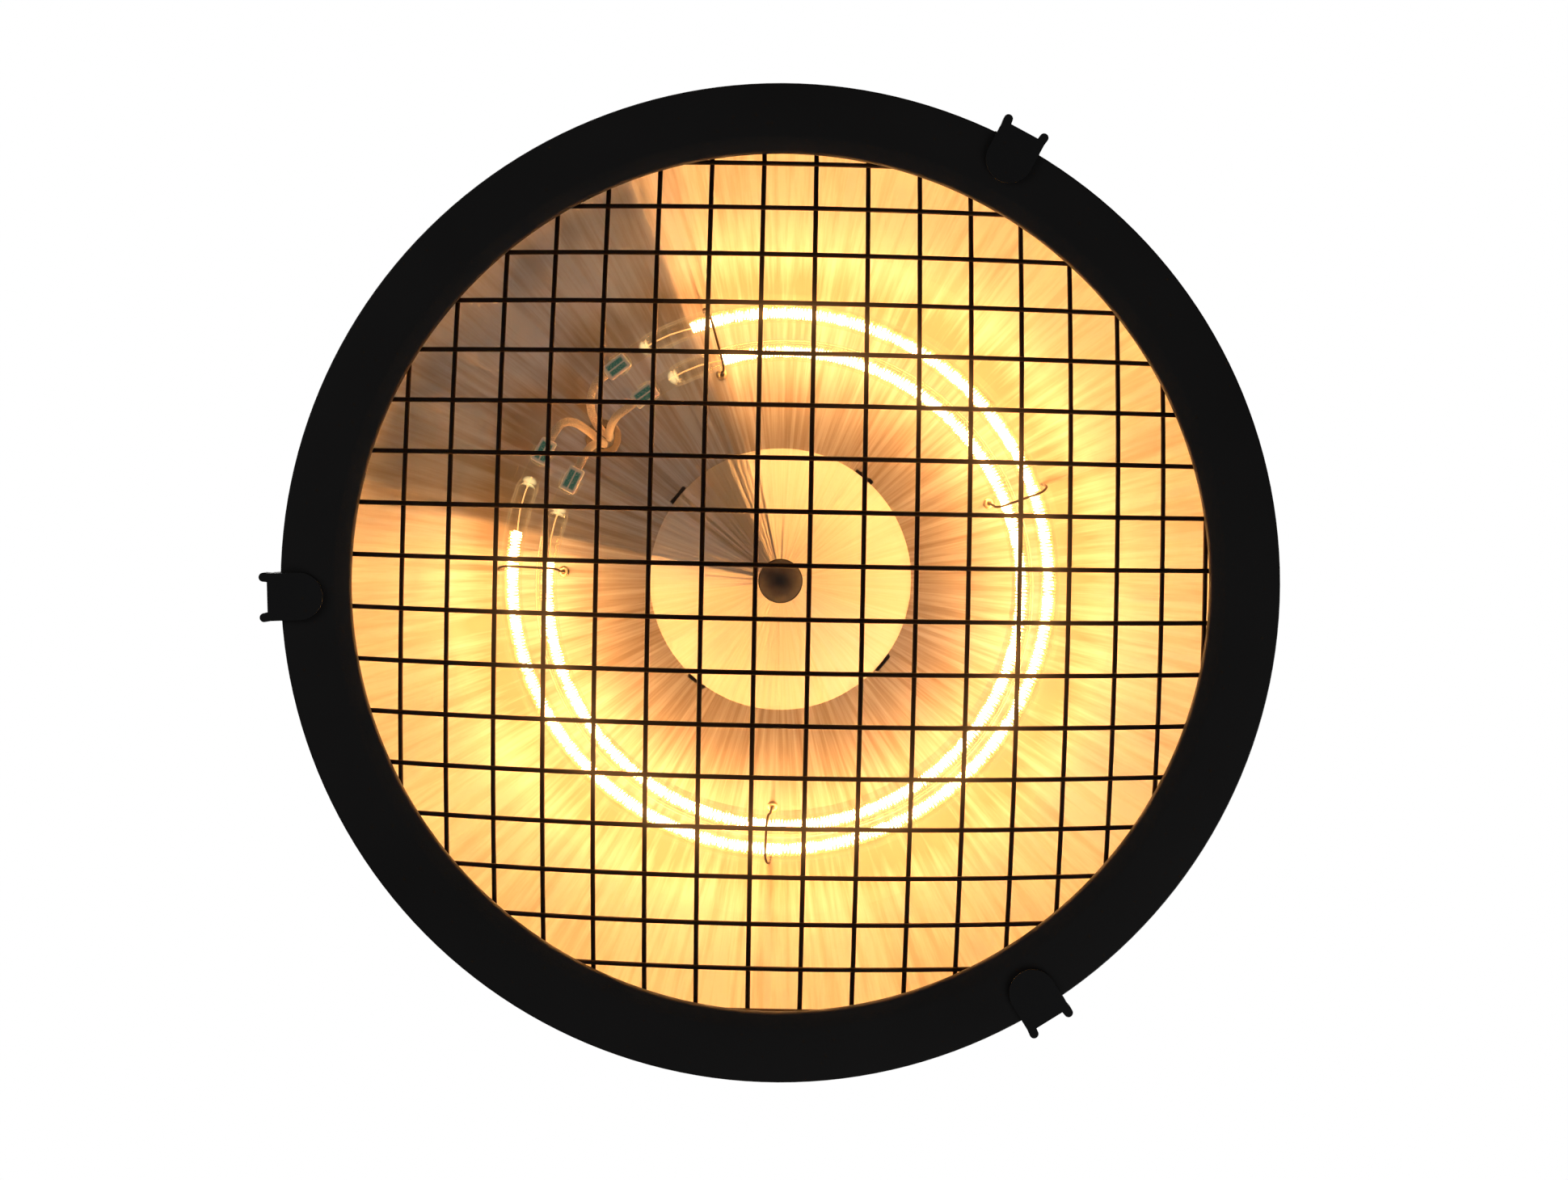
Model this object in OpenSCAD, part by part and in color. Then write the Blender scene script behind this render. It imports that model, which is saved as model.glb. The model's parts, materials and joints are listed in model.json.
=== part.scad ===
// Hanging parabolic heater: a spun black shade over a bright reflector, two nested ring
// lamps, a domed wire guard in a flat ring, and a strap bail to hang it by.
// Everything is drawn with the guard ring's face at height 0, and hang() then brings the
// hanging hole to the origin. Azimuths are counted from +X towards +Y.

/* [Guard ring] */
// Outside diameter of the ring, the widest round part of the heater
ring_d = 420; // [400:1:440]
// Width of the ring's face, from its edge to the opening
ring_face_w = 29.5; // [28:0.5:35]
// Thickness of the ring's sheet
ring_sheet = 1.2; // [0.8:0.1:1.6]
// Height of the ring's upturned outer flange
ring_flange_h = 9; // [7:0.5:10]
// Width of the inner lip, measured across the ring
lip_w = 7; // [5:0.5:8]
// How far the inner lip rises towards the opening
lip_rise = 4; // [3:0.25:4.5]

/* [Wire guard] */
// Diameter of a guard wire
wire_d = 2; // [1.6:0.1:2.4]
// Spacing of the wires along the dome
wire_pitch = 22; // [20:0.5:26]
// Radius of the dome that the wires follow
dome_r = 358; // [330:1:420]
// Number of wires that run across
across_count = 18; // [10:1:18]
// Number of wires that run down
down_count = 17; // [10:1:17]
// How far the wires that run across stand off centre
across_shift = 2.6; // [-3:0.1:3]
// How far the wires that run down stand off centre
down_shift = 11.7; // [-12:0.1:12]
// Turn of the whole mesh in its ring
mesh_turn = 2.75; // [-10:0.25:10]
// Depth that welded wires sink into each other
weld_sink = 0.2; // [0.1:0.05:0.4]
// Diameter of the hoop that the wires end on
hoop_d = 4; // [3.5:0.1:4.4]
// Gap between the ring's lip and the wires behind it
lip_gap = 0.9; // [0.6:0.1:1.2]
// Number of clamps that hold the hoop to the ring
clamp_count = 8; // [4:1:12]
// Width of a clamp
clamp_w = 10; // [6:1:14]

/* [Shade] */
// Thickness of the shade's sheet
shade_sheet = 1; // [0.8:0.1:1.5]
// Height of the shade's foot flange over the ring's face
foot_z = 16; // [15.5:0.1:17]
// Width of the foot flange, from the skirt inwards
foot_w = 10; // [9:0.5:12]
// Diameter of the shade's flat top
top_d = 150; // [142:1:160]
// Height of the shade's flat top
top_z = 92; // [86:1:100]
// Gap between the shade's skirt and the ring's outer flange
skirt_gap = 0.5; // [0.3:0.1:1]
// Screws that hold the reflector under the shade's foot
rim_screw_count = 6; // [3:1:12]

/* [Reflector] */
// Thickness of the reflector's sheet
mirror_sheet = 0.8; // [0.5:0.1:1]
// Height of the reflector's flat middle
mirror_z = 53; // [50:1:58]
// Radius where the flat middle ends and the parabolic wall starts
mirror_flat_r = 95; // [92:1:98]
// How far the reflector's mouth stands outside the ring's opening
mirror_lap = 3.5; // [2.5:0.5:5.5]
// Radius of the cone in the middle
cone_r = 57; // [50:1:60]
// Height of the cone
cone_h = 28; // [20:1:30]
// Radius of the cone's flat nose
cone_nose_r = 10; // [9:0.5:12]
// Thickness of the cone's sheet
cone_sheet = 0.8; // [0.5:0.1:1]
// Azimuth of the cone's first tab
tab_az = 41; // [0:1:89]
// Length of the slots that the cone's tabs go through
tab_slot_l = 9; // [7:0.5:12]
// Radius of the dark cap over the cone's nose
nose_cap_r = 9.5; // [8:0.25:9.5]

/* [Lamps] */
// Outside diameter of the quartz tube
tube_d = 9.5; // [8.5:0.1:9.6]
// Wall of the quartz tube
tube_wall = 1; // [0.8:0.1:1.2]
// Radius of the outer lamp's ring
outer_r = 115.3; // [115:0.1:117]
// Space between the two lamps' rings, from middle to middle
lamp_step = 13.5; // [13.3:0.1:15]
// Height of the outer lamp over the ring's face
outer_z = 25; // [23.8:0.1:26]
// How far the inner lamp hangs below the outer one
inner_drop = 2.6; // [2.4:0.1:3.5]
// How far the inner lamp's centre stands off along X
inner_dx = 1.6; // [-2:0.1:2]
// How far the inner lamp's centre stands off along Y
inner_dy = 3.2; // [-3.3:0.1:3.3]
// Azimuth of the middle of the lamps' gap
gap_az = 222.3; // [218:0.1:226]
// Half the outer tube's gap, as an angle
outer_gap = 19; // [17:0.5:22]
// Half the inner tube's gap, as an angle
inner_gap = 21.5; // [20:0.5:24]
// Length of the flat seal at a tube's end
seal_l = 11; // [8:0.5:11]
// Thickness of the flat seal
seal_t = 3; // [2.5:0.1:3.5]
// Diameter of a ceramic end cap
cap_d = 8.8; // [8:0.1:9.2]
// Length of a ceramic end cap
cap_l = 10.4; // [9:0.1:11]
// Outside diameter of a filament's coil
coil_d = 4.6; // [4:0.1:4.8]
// Thickness of the filament as it glows
filament_d = 0.9; // [0.7:0.05:1]
// Turns of each filament's coil
coil_turns = 40; // [20:1:42]
// How far the coil lies towards the ring's centre in its tube
coil_hug = 0.8; // [0:0.1:1]
// Unlit stretch between a tube's end and its coil
coil_end_gap = 22; // [18:1:26]

/* [Lamp supports and leads] */
// Diameter of a support wire
support_d = 1; // [0.8:0.1:1.2]
// Space between a support wire and a tube
support_gap = 0.2; // [0.1:0.05:0.3]
// Diameter of a sleeved lead
lead_d = 3.6; // [3:0.1:3.6]
// Radius of the hole that the leads leave by, from the axis
lead_hole_r = 98.7; // [97:0.1:100]
// Azimuth of that hole
lead_hole_az = 220.2; // [219:0.1:221]
// Bore of the grommet round the leads
grommet_bore_d = 9.6; // [9.4:0.1:10.4]
// Wall of the grommet where it passes through the sheet
grommet_wall = 1.2; // [1:0.1:1.6]

/* [Latches] */
// Width of a latch lever
latch_w = 20; // [18:0.5:24]
// Reach of a lever's tongue under the ring, from the rim inwards
latch_reach = 18; // [14:0.5:20]
// Thickness of a lever's tongue
tongue_t = 2.4; // [2:0.1:3]
// Thickness of a lever's web
web_t = 1.2; // [1:0.1:1.4]
// Thickness of a lever's cheek
cheek_t = 3.8; // [3:0.1:4.2]
// How far the cheeks' horns stand out past the web
horn_l = 3.4; // [2:0.1:4.5]
// Diameter of a latch's hinge pin
pin_d = 3; // [2.5:0.1:3]
// Space between moving pieces
run_gap = 0.3; // [0.2:0.05:0.35]
// Azimuth of the first latch
latch_az = 60; // [0:1:119]
// Diameter of the latch spring's wire
spring_wire_d = 0.6; // [0.4:0.05:0.6]
// Turns of a latch spring
spring_turns = 3; // [2:1:3]

/* [Terminal housing] */
// Outside diameter of the housing
housing_d = 124; // [116:1:128]
// Height of the housing
housing_h = 46; // [44:1:56]
// Wall of the housing and its lid
housing_wall = 1.5; // [1.2:0.1:2]
// Vent slots in the housing's side
vent_count = 24; // [12:1:30]
// Height of a vent slot
vent_h = 12; // [8:1:16]
// Width of a vent slot
vent_w = 3; // [2:0.5:4]
// Diameter of the heat shield over the reflector
shield_d = 140; // [120:1:144]
// Height of the heat shield
shield_z = 71; // [70:1:74]
// Bore of the cable gland
gland_bore_d = 7.2; // [6:0.1:8]
// Outside diameter of the cable gland's body
gland_d = 16; // [14:0.5:18]
// Length of the cable gland outside the housing
gland_l = 20; // [16:1:26]

/* [Hanging bail] */
// Width of the bail's strap
strap_w = 25; // [20:1:30]
// Thickness of the bail's strap
strap_t = 3; // [2.5:0.1:4]
// Height of the bail over its pivots
bail_h = 79.5; // [76:0.5:90]
// Diameter of the hanging hole
hang_hole_d = 11; // [8:0.5:13]
// Diameter of a pivot bolt
bolt_d = 8; // [6:0.5:9]
// Height of the pivots over the housing's floor
pivot_rise = 30; // [26:1:30]
// Radial space between a bolt or pin and its moving hole
bore_gap = 0.05; // [0.02:0.01:0.1]
// Thickness of the washers between bail and housing
washer_t = 2; // [1.5:0.1:2.5]

/* [Hidden] */
$fn = 96;

wire_fn = 24;
eps = 0.01;
latch_count = 3;
latch_step = 360 / latch_count;

// Guard ring and dome
ring_r = ring_d / 2;
open_r = ring_r - ring_face_w;
lip_foot_r = open_r + lip_w;
hoop_r = open_r + hoop_d;
wire_layer = (wire_d - weld_sink) / 2;
mesh_edge_z = lip_rise + ring_sheet + lip_gap + wire_d / 2;
dome_slope = open_r / sqrt(dome_r * dome_r - open_r * open_r);
hoop_z = mesh_edge_z + (hoop_r - open_r) * dome_slope;
dome_z = hoop_z + sqrt(dome_r * dome_r - hoop_r * hoop_r);

// Shade
skirt_r = ring_r - ring_sheet - skirt_gap;
foot_r = skirt_r - foot_w;
top_r = top_d / 2;
shade_run = foot_r - top_r;
shade_rise = top_z - foot_z - shade_sheet;
shade_arc_r = (shade_run * shade_run + shade_rise * shade_rise) / (2 * shade_rise);
shade_hole_r = 8.5;
shade_hole_at = 36;

// Reflector: a flat middle, then a wall that follows a parabola down to the rim flange
mirror_rim_z = foot_z - mirror_sheet;
mirror_rim_r = open_r + mirror_lap;
mirror_steps = 24;
function mirror_height(r) = r <= mirror_flat_r ? mirror_z
    : mirror_z - (mirror_z - mirror_rim_z)
        * pow((r - mirror_flat_r) / (mirror_rim_r - mirror_flat_r), 2);
tab_step = 90;
tab_count = 360 / tab_step;
tab_t = 0.8;
tab_slot_w = tab_t + 0.4;
stud_r = 2.5;
stud_over = 8;
nose_z = mirror_z - cone_h;

// Lamps
inner_z = outer_z - inner_drop;
inner_r = outer_r - lamp_step;
tube_bore_d = tube_d - 2 * tube_wall;
end_wall = 1.5;

// Housing and pivots
housing_r = housing_d / 2;
lid_z = top_z + housing_h;
pivot_z = top_z + pivot_rise;
bolt_r = bolt_d / 2;
boss_l = 7;
boss_proud = 1;
face_r = housing_r + boss_proud;
bail_in_r = face_r + washer_t;
bail_top_z = pivot_z + bail_h;
hole_z = bail_top_z - strap_t / 2;
gland_az = 90;
gland_z = top_z + 16;
gland_shank_d = gland_bore_d + 4.8;
lid_screw_count = 4;
lid_screw_az = 45;
lid_boss_r = 4;
lid_boss_drop = 0.3;
lid_boss_at = housing_r - housing_wall / 2 - lid_boss_r;
housing_screw_at = 44;

// Latches, in a frame with X outwards from the heater's axis and the pin along Y
pin_x = ring_r + 1;
pin_z = foot_z + shade_sheet + 3.7;
web_x = ring_r + 4;
knuckle_r = pin_d / 2 + 1.1;
knuckle_l = 3;
bracket_t = 1.2;
cheek_r = pin_d / 2 + 1.9;
cheek_y = latch_w / 2 - cheek_t;
web_top_z = pin_z - knuckle_r - run_gap;
horn_foot_z = -tongue_t - run_gap;

// Frames and small tools
module hang() translate([0, 0, -hole_z]) children();
module at_az(az, r = 0, z = 0) rotate([0, 0, az]) translate([r, 0, z]) children();
module repeat_az(count, first = 0) for (i = [0 : count - 1])
    rotate([0, 0, first + i * 360 / count]) children();
module along_x() rotate([0, 90, 0]) children();
module along_y() rotate([-90, 0, 0]) children();
module upright(length) rotate([90, 0, 0]) linear_extrude(length, center = true) children();
module ring_block(r_in, r_out, z_low, z_high)
    rotate_extrude() translate([r_in, z_low]) square([r_out - r_in, z_high - z_low]);
module screw(shank_d, shank_l, head_d, head_h) {
    cylinder(d = head_d, h = head_h);
    translate([0, 0, -shank_l]) cylinder(d = shank_d, h = shank_l + eps);
}
module hex_nut(across, height, bore_d) difference() {
    cylinder(d = across, h = height, $fn = 6);
    translate([0, 0, -1]) cylinder(d = bore_d, h = height + 2);
}

function unit(v) = v / norm(v);
function polar(r, az, z) = [r * cos(az), r * sin(az), z];

// A tube swept along a list of points, its ring carried along without twist
function tangent(p, i) = unit(p[min(i + 1, len(p) - 1)] - p[max(i - 1, 0)]);
function square_to(v, t) = unit(v - (v * t) * t);
function carried(p, i) = i == 0 ? square_to([0.31, 0.47, 0.83], tangent(p, 0))
    : square_to(carried(p, i - 1), tangent(p, i));
function carried_all(p) = [for (i = 0, n = carried(p, 0); i < len(p);
    i = i + 1, n = i < len(p) ? square_to(n, tangent(p, i)) : n) n];
module swept_tube(p, d, sides, normals) {
    rings = len(p);
    points = [for (i = [0 : rings - 1]) let (n = normals[i], b = cross(tangent(p, i), n))
        for (k = [0 : sides - 1]) p[i] + d / 2 * (cos(360 * k / sides) * n + sin(360 * k / sides) * b)];
    walls = [for (i = [0 : rings - 2]) for (k = [0 : sides - 1])
        let (a = i * sides + k, b = i * sides + (k + 1) % sides)
        each [[a, a + sides, b + sides], [a, b + sides, b]]];
    first_cap = [for (k = [1 : sides - 2]) [0, k, k + 1]];
    last = (rings - 1) * sides;
    last_cap = [for (k = [1 : sides - 2]) [last, last + k + 1, last + k]];
    polyhedron(points, concat(walls, first_cap, last_cap));
}

// Guard ring: a flat face, an inner lip that rises to the opening, an upturned outer flange
module guard_ring() color("#151515") hang() rotate_extrude() polygon([
    [open_r, lip_rise], [lip_foot_r, 0], [ring_r - ring_sheet / 2, 0], [ring_r, ring_sheet / 2],
    [ring_r, ring_flange_h], [ring_r - ring_sheet, ring_flange_h], [ring_r - ring_sheet, ring_sheet],
    [lip_foot_r + 0.3, ring_sheet], [open_r + 0.4, lip_rise + ring_sheet], [open_r, lip_rise + 0.8]
]);

// Wires lie in upright planes, each an arc of the circle where its plane cuts the dome
function wire_places(count, shift) = [for (i = [0 : count - 1])
    let (place = dome_r * sin(((i - (count - 1) / 2) * wire_pitch + shift) / dome_r * 180 / PI))
    if (abs(place) < hoop_r - hoop_d / 2 - wire_d / 2 + 0.4) place];
module guard_wire(place, layer_r) {
    arc_r = sqrt(layer_r * layer_r - place * place);
    reach = sqrt(pow(hoop_r - hoop_d / 4, 2) - place * place);
    half = asin(reach / arc_r);
    translate([0, place, dome_z]) rotate([90, 0, 0]) rotate([0, 0, -90 - half])
        rotate_extrude(angle = 2 * half) translate([arc_r, 0]) circle(d = wire_d, $fn = wire_fn);
}
module guard_wires_across() color("#1c1210") hang() rotate([0, 0, mesh_turn])
    for (place = wire_places(across_count, across_shift)) guard_wire(place, dome_r + wire_layer);
module guard_wires_down() color("#1c1210") hang() rotate([0, 0, mesh_turn - 90])
    for (place = wire_places(down_count, down_shift)) guard_wire(place, dome_r - wire_layer);
module guard_hoop() color("#1c1210") hang() translate([0, 0, hoop_z])
    rotate_extrude() translate([hoop_r, 0]) circle(d = hoop_d, $fn = 2 * wire_fn);

// A clamp is a strap bent like a Z, from the ring's face up and over the hoop
clamp_t = 1;
clamp_foot_l = 8;
module guard_clamps() color("#181818") hang() repeat_az(clamp_count, 11) {
    top_z_low = hoop_z + hoop_d / 2;
    leg_x = lip_foot_r + 1;
    upright(clamp_w) {
        translate([hoop_r - 0.5, top_z_low]) square([leg_x + clamp_t - hoop_r + 0.5, clamp_t]);
        translate([leg_x, ring_sheet]) square([clamp_t, top_z_low + clamp_t - ring_sheet]);
        translate([leg_x, ring_sheet]) square([clamp_foot_l, clamp_t]);
    }
}

// Shade: flat top, an arc of a circle down to the foot, a flange and a skirt that stands in the ring
module shade_section() {
    difference() {
        translate([top_r, top_z - shade_arc_r]) circle(r = shade_arc_r, $fn = 192);
        translate([top_r, top_z - shade_arc_r]) circle(r = shade_arc_r - shade_sheet, $fn = 192);
        translate([top_r - 2 * shade_arc_r, top_z - 3 * shade_arc_r])
            square([2 * shade_arc_r, 4 * shade_arc_r]);
        translate([top_r - 1, foot_z - 3 * shade_arc_r]) square([2 * shade_arc_r, 3 * shade_arc_r]);
    }
    translate([0, top_z - shade_sheet]) square([top_r + eps, shade_sheet]);
    translate([foot_r - 1.2 * shade_sheet, foot_z]) square([foot_w + 1.2 * shade_sheet, shade_sheet]);
    translate([skirt_r - shade_sheet, ring_sheet]) square([shade_sheet, foot_z + shade_sheet - ring_sheet]);
}
rim_screw_at = foot_r + 3.2;
rim_screw_d = 3.5;
rim_screw_az = 30;
module rim_screw_holes(z_low, height) repeat_az(rim_screw_count, rim_screw_az)
    translate([rim_screw_at, 0, z_low]) cylinder(d = rim_screw_d + 0.2, h = height);
housing_screw_d = 4;
housing_screw_count = 3;
housing_screw_az = 40;
module housing_screw_holes(z_low, height) repeat_az(housing_screw_count, housing_screw_az)
    translate([housing_screw_at, 0, z_low]) cylinder(d = housing_screw_d + 0.2, h = height);
module shade() color("#141414") hang() difference() {
    rotate_extrude($fn = 192) shade_section();
    rim_screw_holes(foot_z - 1, shade_sheet + 2);
    housing_screw_holes(top_z - shade_sheet - 1, shade_sheet + 2);
    at_az(lead_hole_az, shade_hole_at, top_z - shade_sheet - 1)
        cylinder(r = shade_hole_r, h = shade_sheet + 2);
    rivet_holes(rivet_d, foot_z - 1, shade_sheet + 2);
}

// Reflector: one spun sheet, open downwards, with a flat flange that the rim screws hold
mirror_flange_r = skirt_r - shade_sheet - 1.5;
mirror_lean = 0.3;
function mirror_step_r(i) = mirror_flat_r + i * (mirror_rim_r - mirror_flat_r) / mirror_steps;
module reflector() color("#d9b46a") hang() difference() {
    rotate_extrude() polygon(concat(
        [[0, mirror_z], [mirror_flat_r, mirror_z]],
        [for (i = [1 : mirror_steps]) [mirror_step_r(i), mirror_height(mirror_step_r(i))]],
        [[mirror_flange_r, mirror_rim_z], [mirror_flange_r, foot_z], [mirror_rim_r + mirror_lean, foot_z]],
        [for (i = [mirror_steps - 1 : -1 : 0])
            [mirror_step_r(i) + mirror_lean, mirror_height(mirror_step_r(i)) + mirror_sheet]],
        [[0, mirror_z + mirror_sheet]]));
    rim_screw_holes(mirror_rim_z - 1, mirror_sheet + 2);
    rivet_holes(latch_rivet_head_d + 0.6, mirror_rim_z - 1, mirror_sheet + 2);
    at_az(lead_hole_az, lead_hole_r, mirror_z - 2) cylinder(r = grommet_hole_r, h = 5);
    translate([0, 0, mirror_z - 1]) cylinder(r = stud_r + 0.2, h = mirror_sheet + 2);
    repeat_az(tab_count, tab_az) translate([cone_r - tab_t - 0.6, -tab_slot_l / 2, mirror_z - 1])
        cube([tab_t + 0.6 + tab_slot_w - 0.4, tab_slot_l, mirror_sheet + 2]);
}

// Cone that throws the lamps' light outwards, with four tabs bent over behind the reflector
tab_l = 6;
module centre_cone() color("#f0d070") hang() {
    difference() {
        rotate_extrude() polygon([
            [0, nose_z], [cone_nose_r, nose_z],
            [cone_r - 2, mirror_z - cone_sheet], [cone_r, mirror_z - cone_sheet],
            [cone_r, mirror_z], [cone_r - 2.5, mirror_z],
            [cone_nose_r - 0.5, nose_z + cone_sheet], [0, nose_z + cone_sheet]
        ]);
        translate([0, 0, nose_z - 1]) cylinder(r = stud_r, h = cone_sheet + 2);
    }
    repeat_az(tab_count, tab_az) {
        translate([cone_r - tab_t - 0.3, -tab_slot_l / 2 + 0.3, mirror_z - cone_sheet / 2])
            cube([tab_t, tab_slot_l - 0.6, cone_sheet / 2 + mirror_sheet + tab_t]);
        translate([cone_r - tab_l, -tab_slot_l / 2 + 0.3, mirror_z + mirror_sheet])
            cube([tab_l - 0.3, tab_slot_l - 0.6, tab_t]);
    }
}
module cone_stud() color("silver") hang() translate([0, 0, nose_z - 3])
    cylinder(r = stud_r, h = mirror_z + mirror_sheet + stud_over - nose_z + 3);
module cone_nut() color("silver") hang() translate([0, 0, mirror_z + mirror_sheet])
    hex_nut(3.7 * stud_r, 1.6 * stud_r, 2 * stud_r);
nose_cap_h = 5;
module nose_cap() color("#4d4038") hang() {
    cap_sphere_r = (nose_cap_r * nose_cap_r + nose_cap_h * nose_cap_h) / (2 * nose_cap_h);
    difference() {
        intersection() {
            translate([0, 0, nose_z - nose_cap_h + cap_sphere_r]) sphere(r = cap_sphere_r);
            translate([0, 0, nose_z - nose_cap_h - 1]) cylinder(r = nose_cap_r, h = nose_cap_h + 1);
        }
        translate([0, 0, nose_z - 3]) cylinder(r = stud_r, h = 4);
    }
}

// A lamp is a ring of quartz tube with a gap, a flat seal and a ceramic cap at each end
module lamp_place(lamp) translate(lamp == 0 ? [0, 0, outer_z] : [inner_dx, inner_dy, inner_z]) children();
function lamp_centre(lamp) = lamp == 0 ? [0, 0, outer_z] : [inner_dx, inner_dy, inner_z];
function lamp_r(lamp) = lamp == 0 ? outer_r : inner_r;
function lamp_gap(lamp) = lamp == 0 ? outer_gap : inner_gap;
function arc_angle(length, r) = length / r * 180 / PI;
module ring_arc(from, to, r) rotate([0, 0, from])
    rotate_extrude(angle = to - from) translate([r, 0]) children();
module lamp_glass(lamp) {
    r = lamp_r(lamp);
    gap = lamp_gap(lamp);
    wall = arc_angle(end_wall, r);
    seal = arc_angle(seal_l, r);
    lamp_place(lamp) {
        difference() {
            ring_arc(gap_az + gap, gap_az + 360 - gap, r) circle(d = tube_d, $fn = 2 * wire_fn);
            ring_arc(gap_az + gap + wall, gap_az + 360 - gap - wall, r)
                circle(d = tube_bore_d, $fn = 2 * wire_fn);
        }
        for (end = [[gap - seal, gap + eps], [-gap - eps, seal - gap]])
            ring_arc(gap_az + end[0], gap_az + end[1], r) square([tube_d - 1.5, seal_t], center = true);
    }
}
module outer_lamp_glass() color("#f6e6c0", 0.4) hang() lamp_glass(0);
module inner_lamp_glass() color("#f6e6c0", 0.4) hang() lamp_glass(1);

// The cap's middle lies past the seal's end, with the seal held 2 mm deep in its slot
cap_grip = 2;
lead_bore_l = 3;
function cap_angle(lamp) = lamp_gap(lamp) - arc_angle(seal_l - cap_grip + cap_l / 2, lamp_r(lamp));
function cap_middle(lamp, side) = lamp_centre(lamp)
    + polar(lamp_r(lamp), gap_az + side * cap_angle(lamp), 0);
function cap_way(lamp, side) = -side * polar(1, gap_az + side * cap_angle(lamp) + 90, 0);
module lamp_caps(lamp) for (side = [-1, 1]) difference() {
    lamp_place(lamp) at_az(gap_az + side * cap_angle(lamp), lamp_r(lamp)) {
        translate([0, -side * cap_l / 2, 0]) rotate([side * -90, 0, 0]) difference() {
            cylinder(d = cap_d, h = cap_l);
            translate([0, 0, -1]) cylinder(d = lead_d, h = lead_bore_l + 1);
        }
    }
    lamp_place(lamp) rotate([0, 0, gap_az]) {
        far = lamp_gap(lamp);
        near = far - arc_angle(seal_l + 0.1, lamp_r(lamp));
        ring_arc(side > 0 ? near : -far, side > 0 ? far : -near, lamp_r(lamp))
            square([tube_d - 1.3, seal_t + 0.2], center = true);
    }
}
module outer_lamp_caps() color("#efe6d2") hang() lamp_caps(0);
module inner_lamp_caps() color("#efe6d2") hang() lamp_caps(1);

// Each filament is one coil wound round a ring; a turn has 8 rings of 6 sides
coil_rings = 8;
coil_sides = 6;
function coil_axis_r(lamp) = lamp_r(lamp) - coil_hug;
function coil_half_gap(lamp) = lamp_gap(lamp) + arc_angle(coil_end_gap, lamp_r(lamp));
function coil_az(lamp, i) = gap_az + coil_half_gap(lamp)
    + i / (coil_turns * coil_rings) * (360 - 2 * coil_half_gap(lamp));
coil_wind_r = (coil_d - filament_d) / 2;
function coil_out(lamp, i) = let (turn = 360 * i / coil_rings)
    cos(turn) * polar(1, coil_az(lamp, i), 0) + [0, 0, sin(turn)];
function coil_point(lamp, i) = polar(coil_axis_r(lamp), coil_az(lamp, i), 0)
    + coil_wind_r * coil_out(lamp, i);
module filament(lamp) {
    last = coil_turns * coil_rings;
    p = [for (i = [0 : last]) coil_point(lamp, i)];
    lamp_place(lamp) swept_tube(p, filament_d, coil_sides,
        [for (i = [0 : last]) square_to(coil_out(lamp, i), tangent(p, i))]);
}
module outer_filament() color("#fff3c4") hang() filament(0);
module inner_filament() color("#fff3c4") hang() filament(1);
function coil_gap(lamp) = min([for (i = [0 : coil_rings]) for (k = [coil_rings - 2 : coil_rings + 2])
    norm(coil_point(lamp, i + k) - coil_point(lamp, i))]) - filament_d;
echo(str("least gap between the turns of a filament: ", coil_gap(1)));

// Wire hooks that carry both tubes, with a rivet over each hook's inner leg
support_az = [93.6, 183.6, 255.6, 341.6];
hook_r = tube_d / 2 + support_gap + support_d / 2;
leg_sink = 0.3;
function inner_r_at(az) =
    let (off = [inner_dx, inner_dy], out = [cos(az), sin(az)], side = [-sin(az), cos(az)])
    off * out + sqrt(inner_r * inner_r - pow(off * side, 2));
module hook_leg(x, z) {
    top = mirror_height(x) + leg_sink;
    translate([x, 0, z - eps]) cylinder(d = support_d, h = top - z + eps, $fn = wire_fn);
}
module hook_bend(x, z, from, to) translate([x, 0, z]) rotate([90, 0, 0]) rotate([0, 0, from])
    rotate_extrude(angle = to - from) translate([hook_r, 0]) circle(d = support_d + 4 * eps, $fn = wire_fn);
module hook(az) {
    near_x = inner_r_at(az);
    rise = atan2(inner_drop, outer_r - near_x);
    span = norm([outer_r - near_x, inner_drop]);
    hook_leg(near_x - hook_r, inner_z);
    hook_bend(near_x, inner_z, 180, 270 + rise);
    translate([near_x, 0, inner_z]) rotate([0, -rise, 0]) translate([-eps, 0, -hook_r])
        along_x() cylinder(d = support_d, h = span + 2 * eps, $fn = wire_fn);
    hook_bend(outer_r, outer_z, 270 + rise, 360);
    hook_leg(outer_r + hook_r, outer_z);
}
module lamp_supports() color("#5a3a20") hang() for (az = support_az) at_az(az) hook(az);
rivet_head_d = 5;
rivet_head_h = 1.6;
module support_rivets() color("#d8b060") hang() for (az = support_az) let (r = inner_r_at(az) - hook_r)
    at_az(az, r, mirror_height(r + rivet_head_d / 2) - rivet_head_h) difference() {
        cylinder(d = rivet_head_d, h = rivet_head_h);
        translate([0, 0, -1]) cylinder(d = support_d, h = rivet_head_h + 2, $fn = wire_fn);
    }

// Terminal block's size, and where the leads enter it
block_out = 14;
block_back = 10;
block_half = 17;
block_h = 22;
entry_d = lead_d + 0.4;
entry_l = 6;
entry_z = top_z + 14.5;
terminal_spread = 8;
terminal_step = 4;

// Leads: each leaves its cap, bows aside and rises to the grommet, then all share one route
bundle_gap = 0.2;
bundle = (lead_d + bundle_gap) / 2;
lead_run_z = top_z - 9.5;
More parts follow.
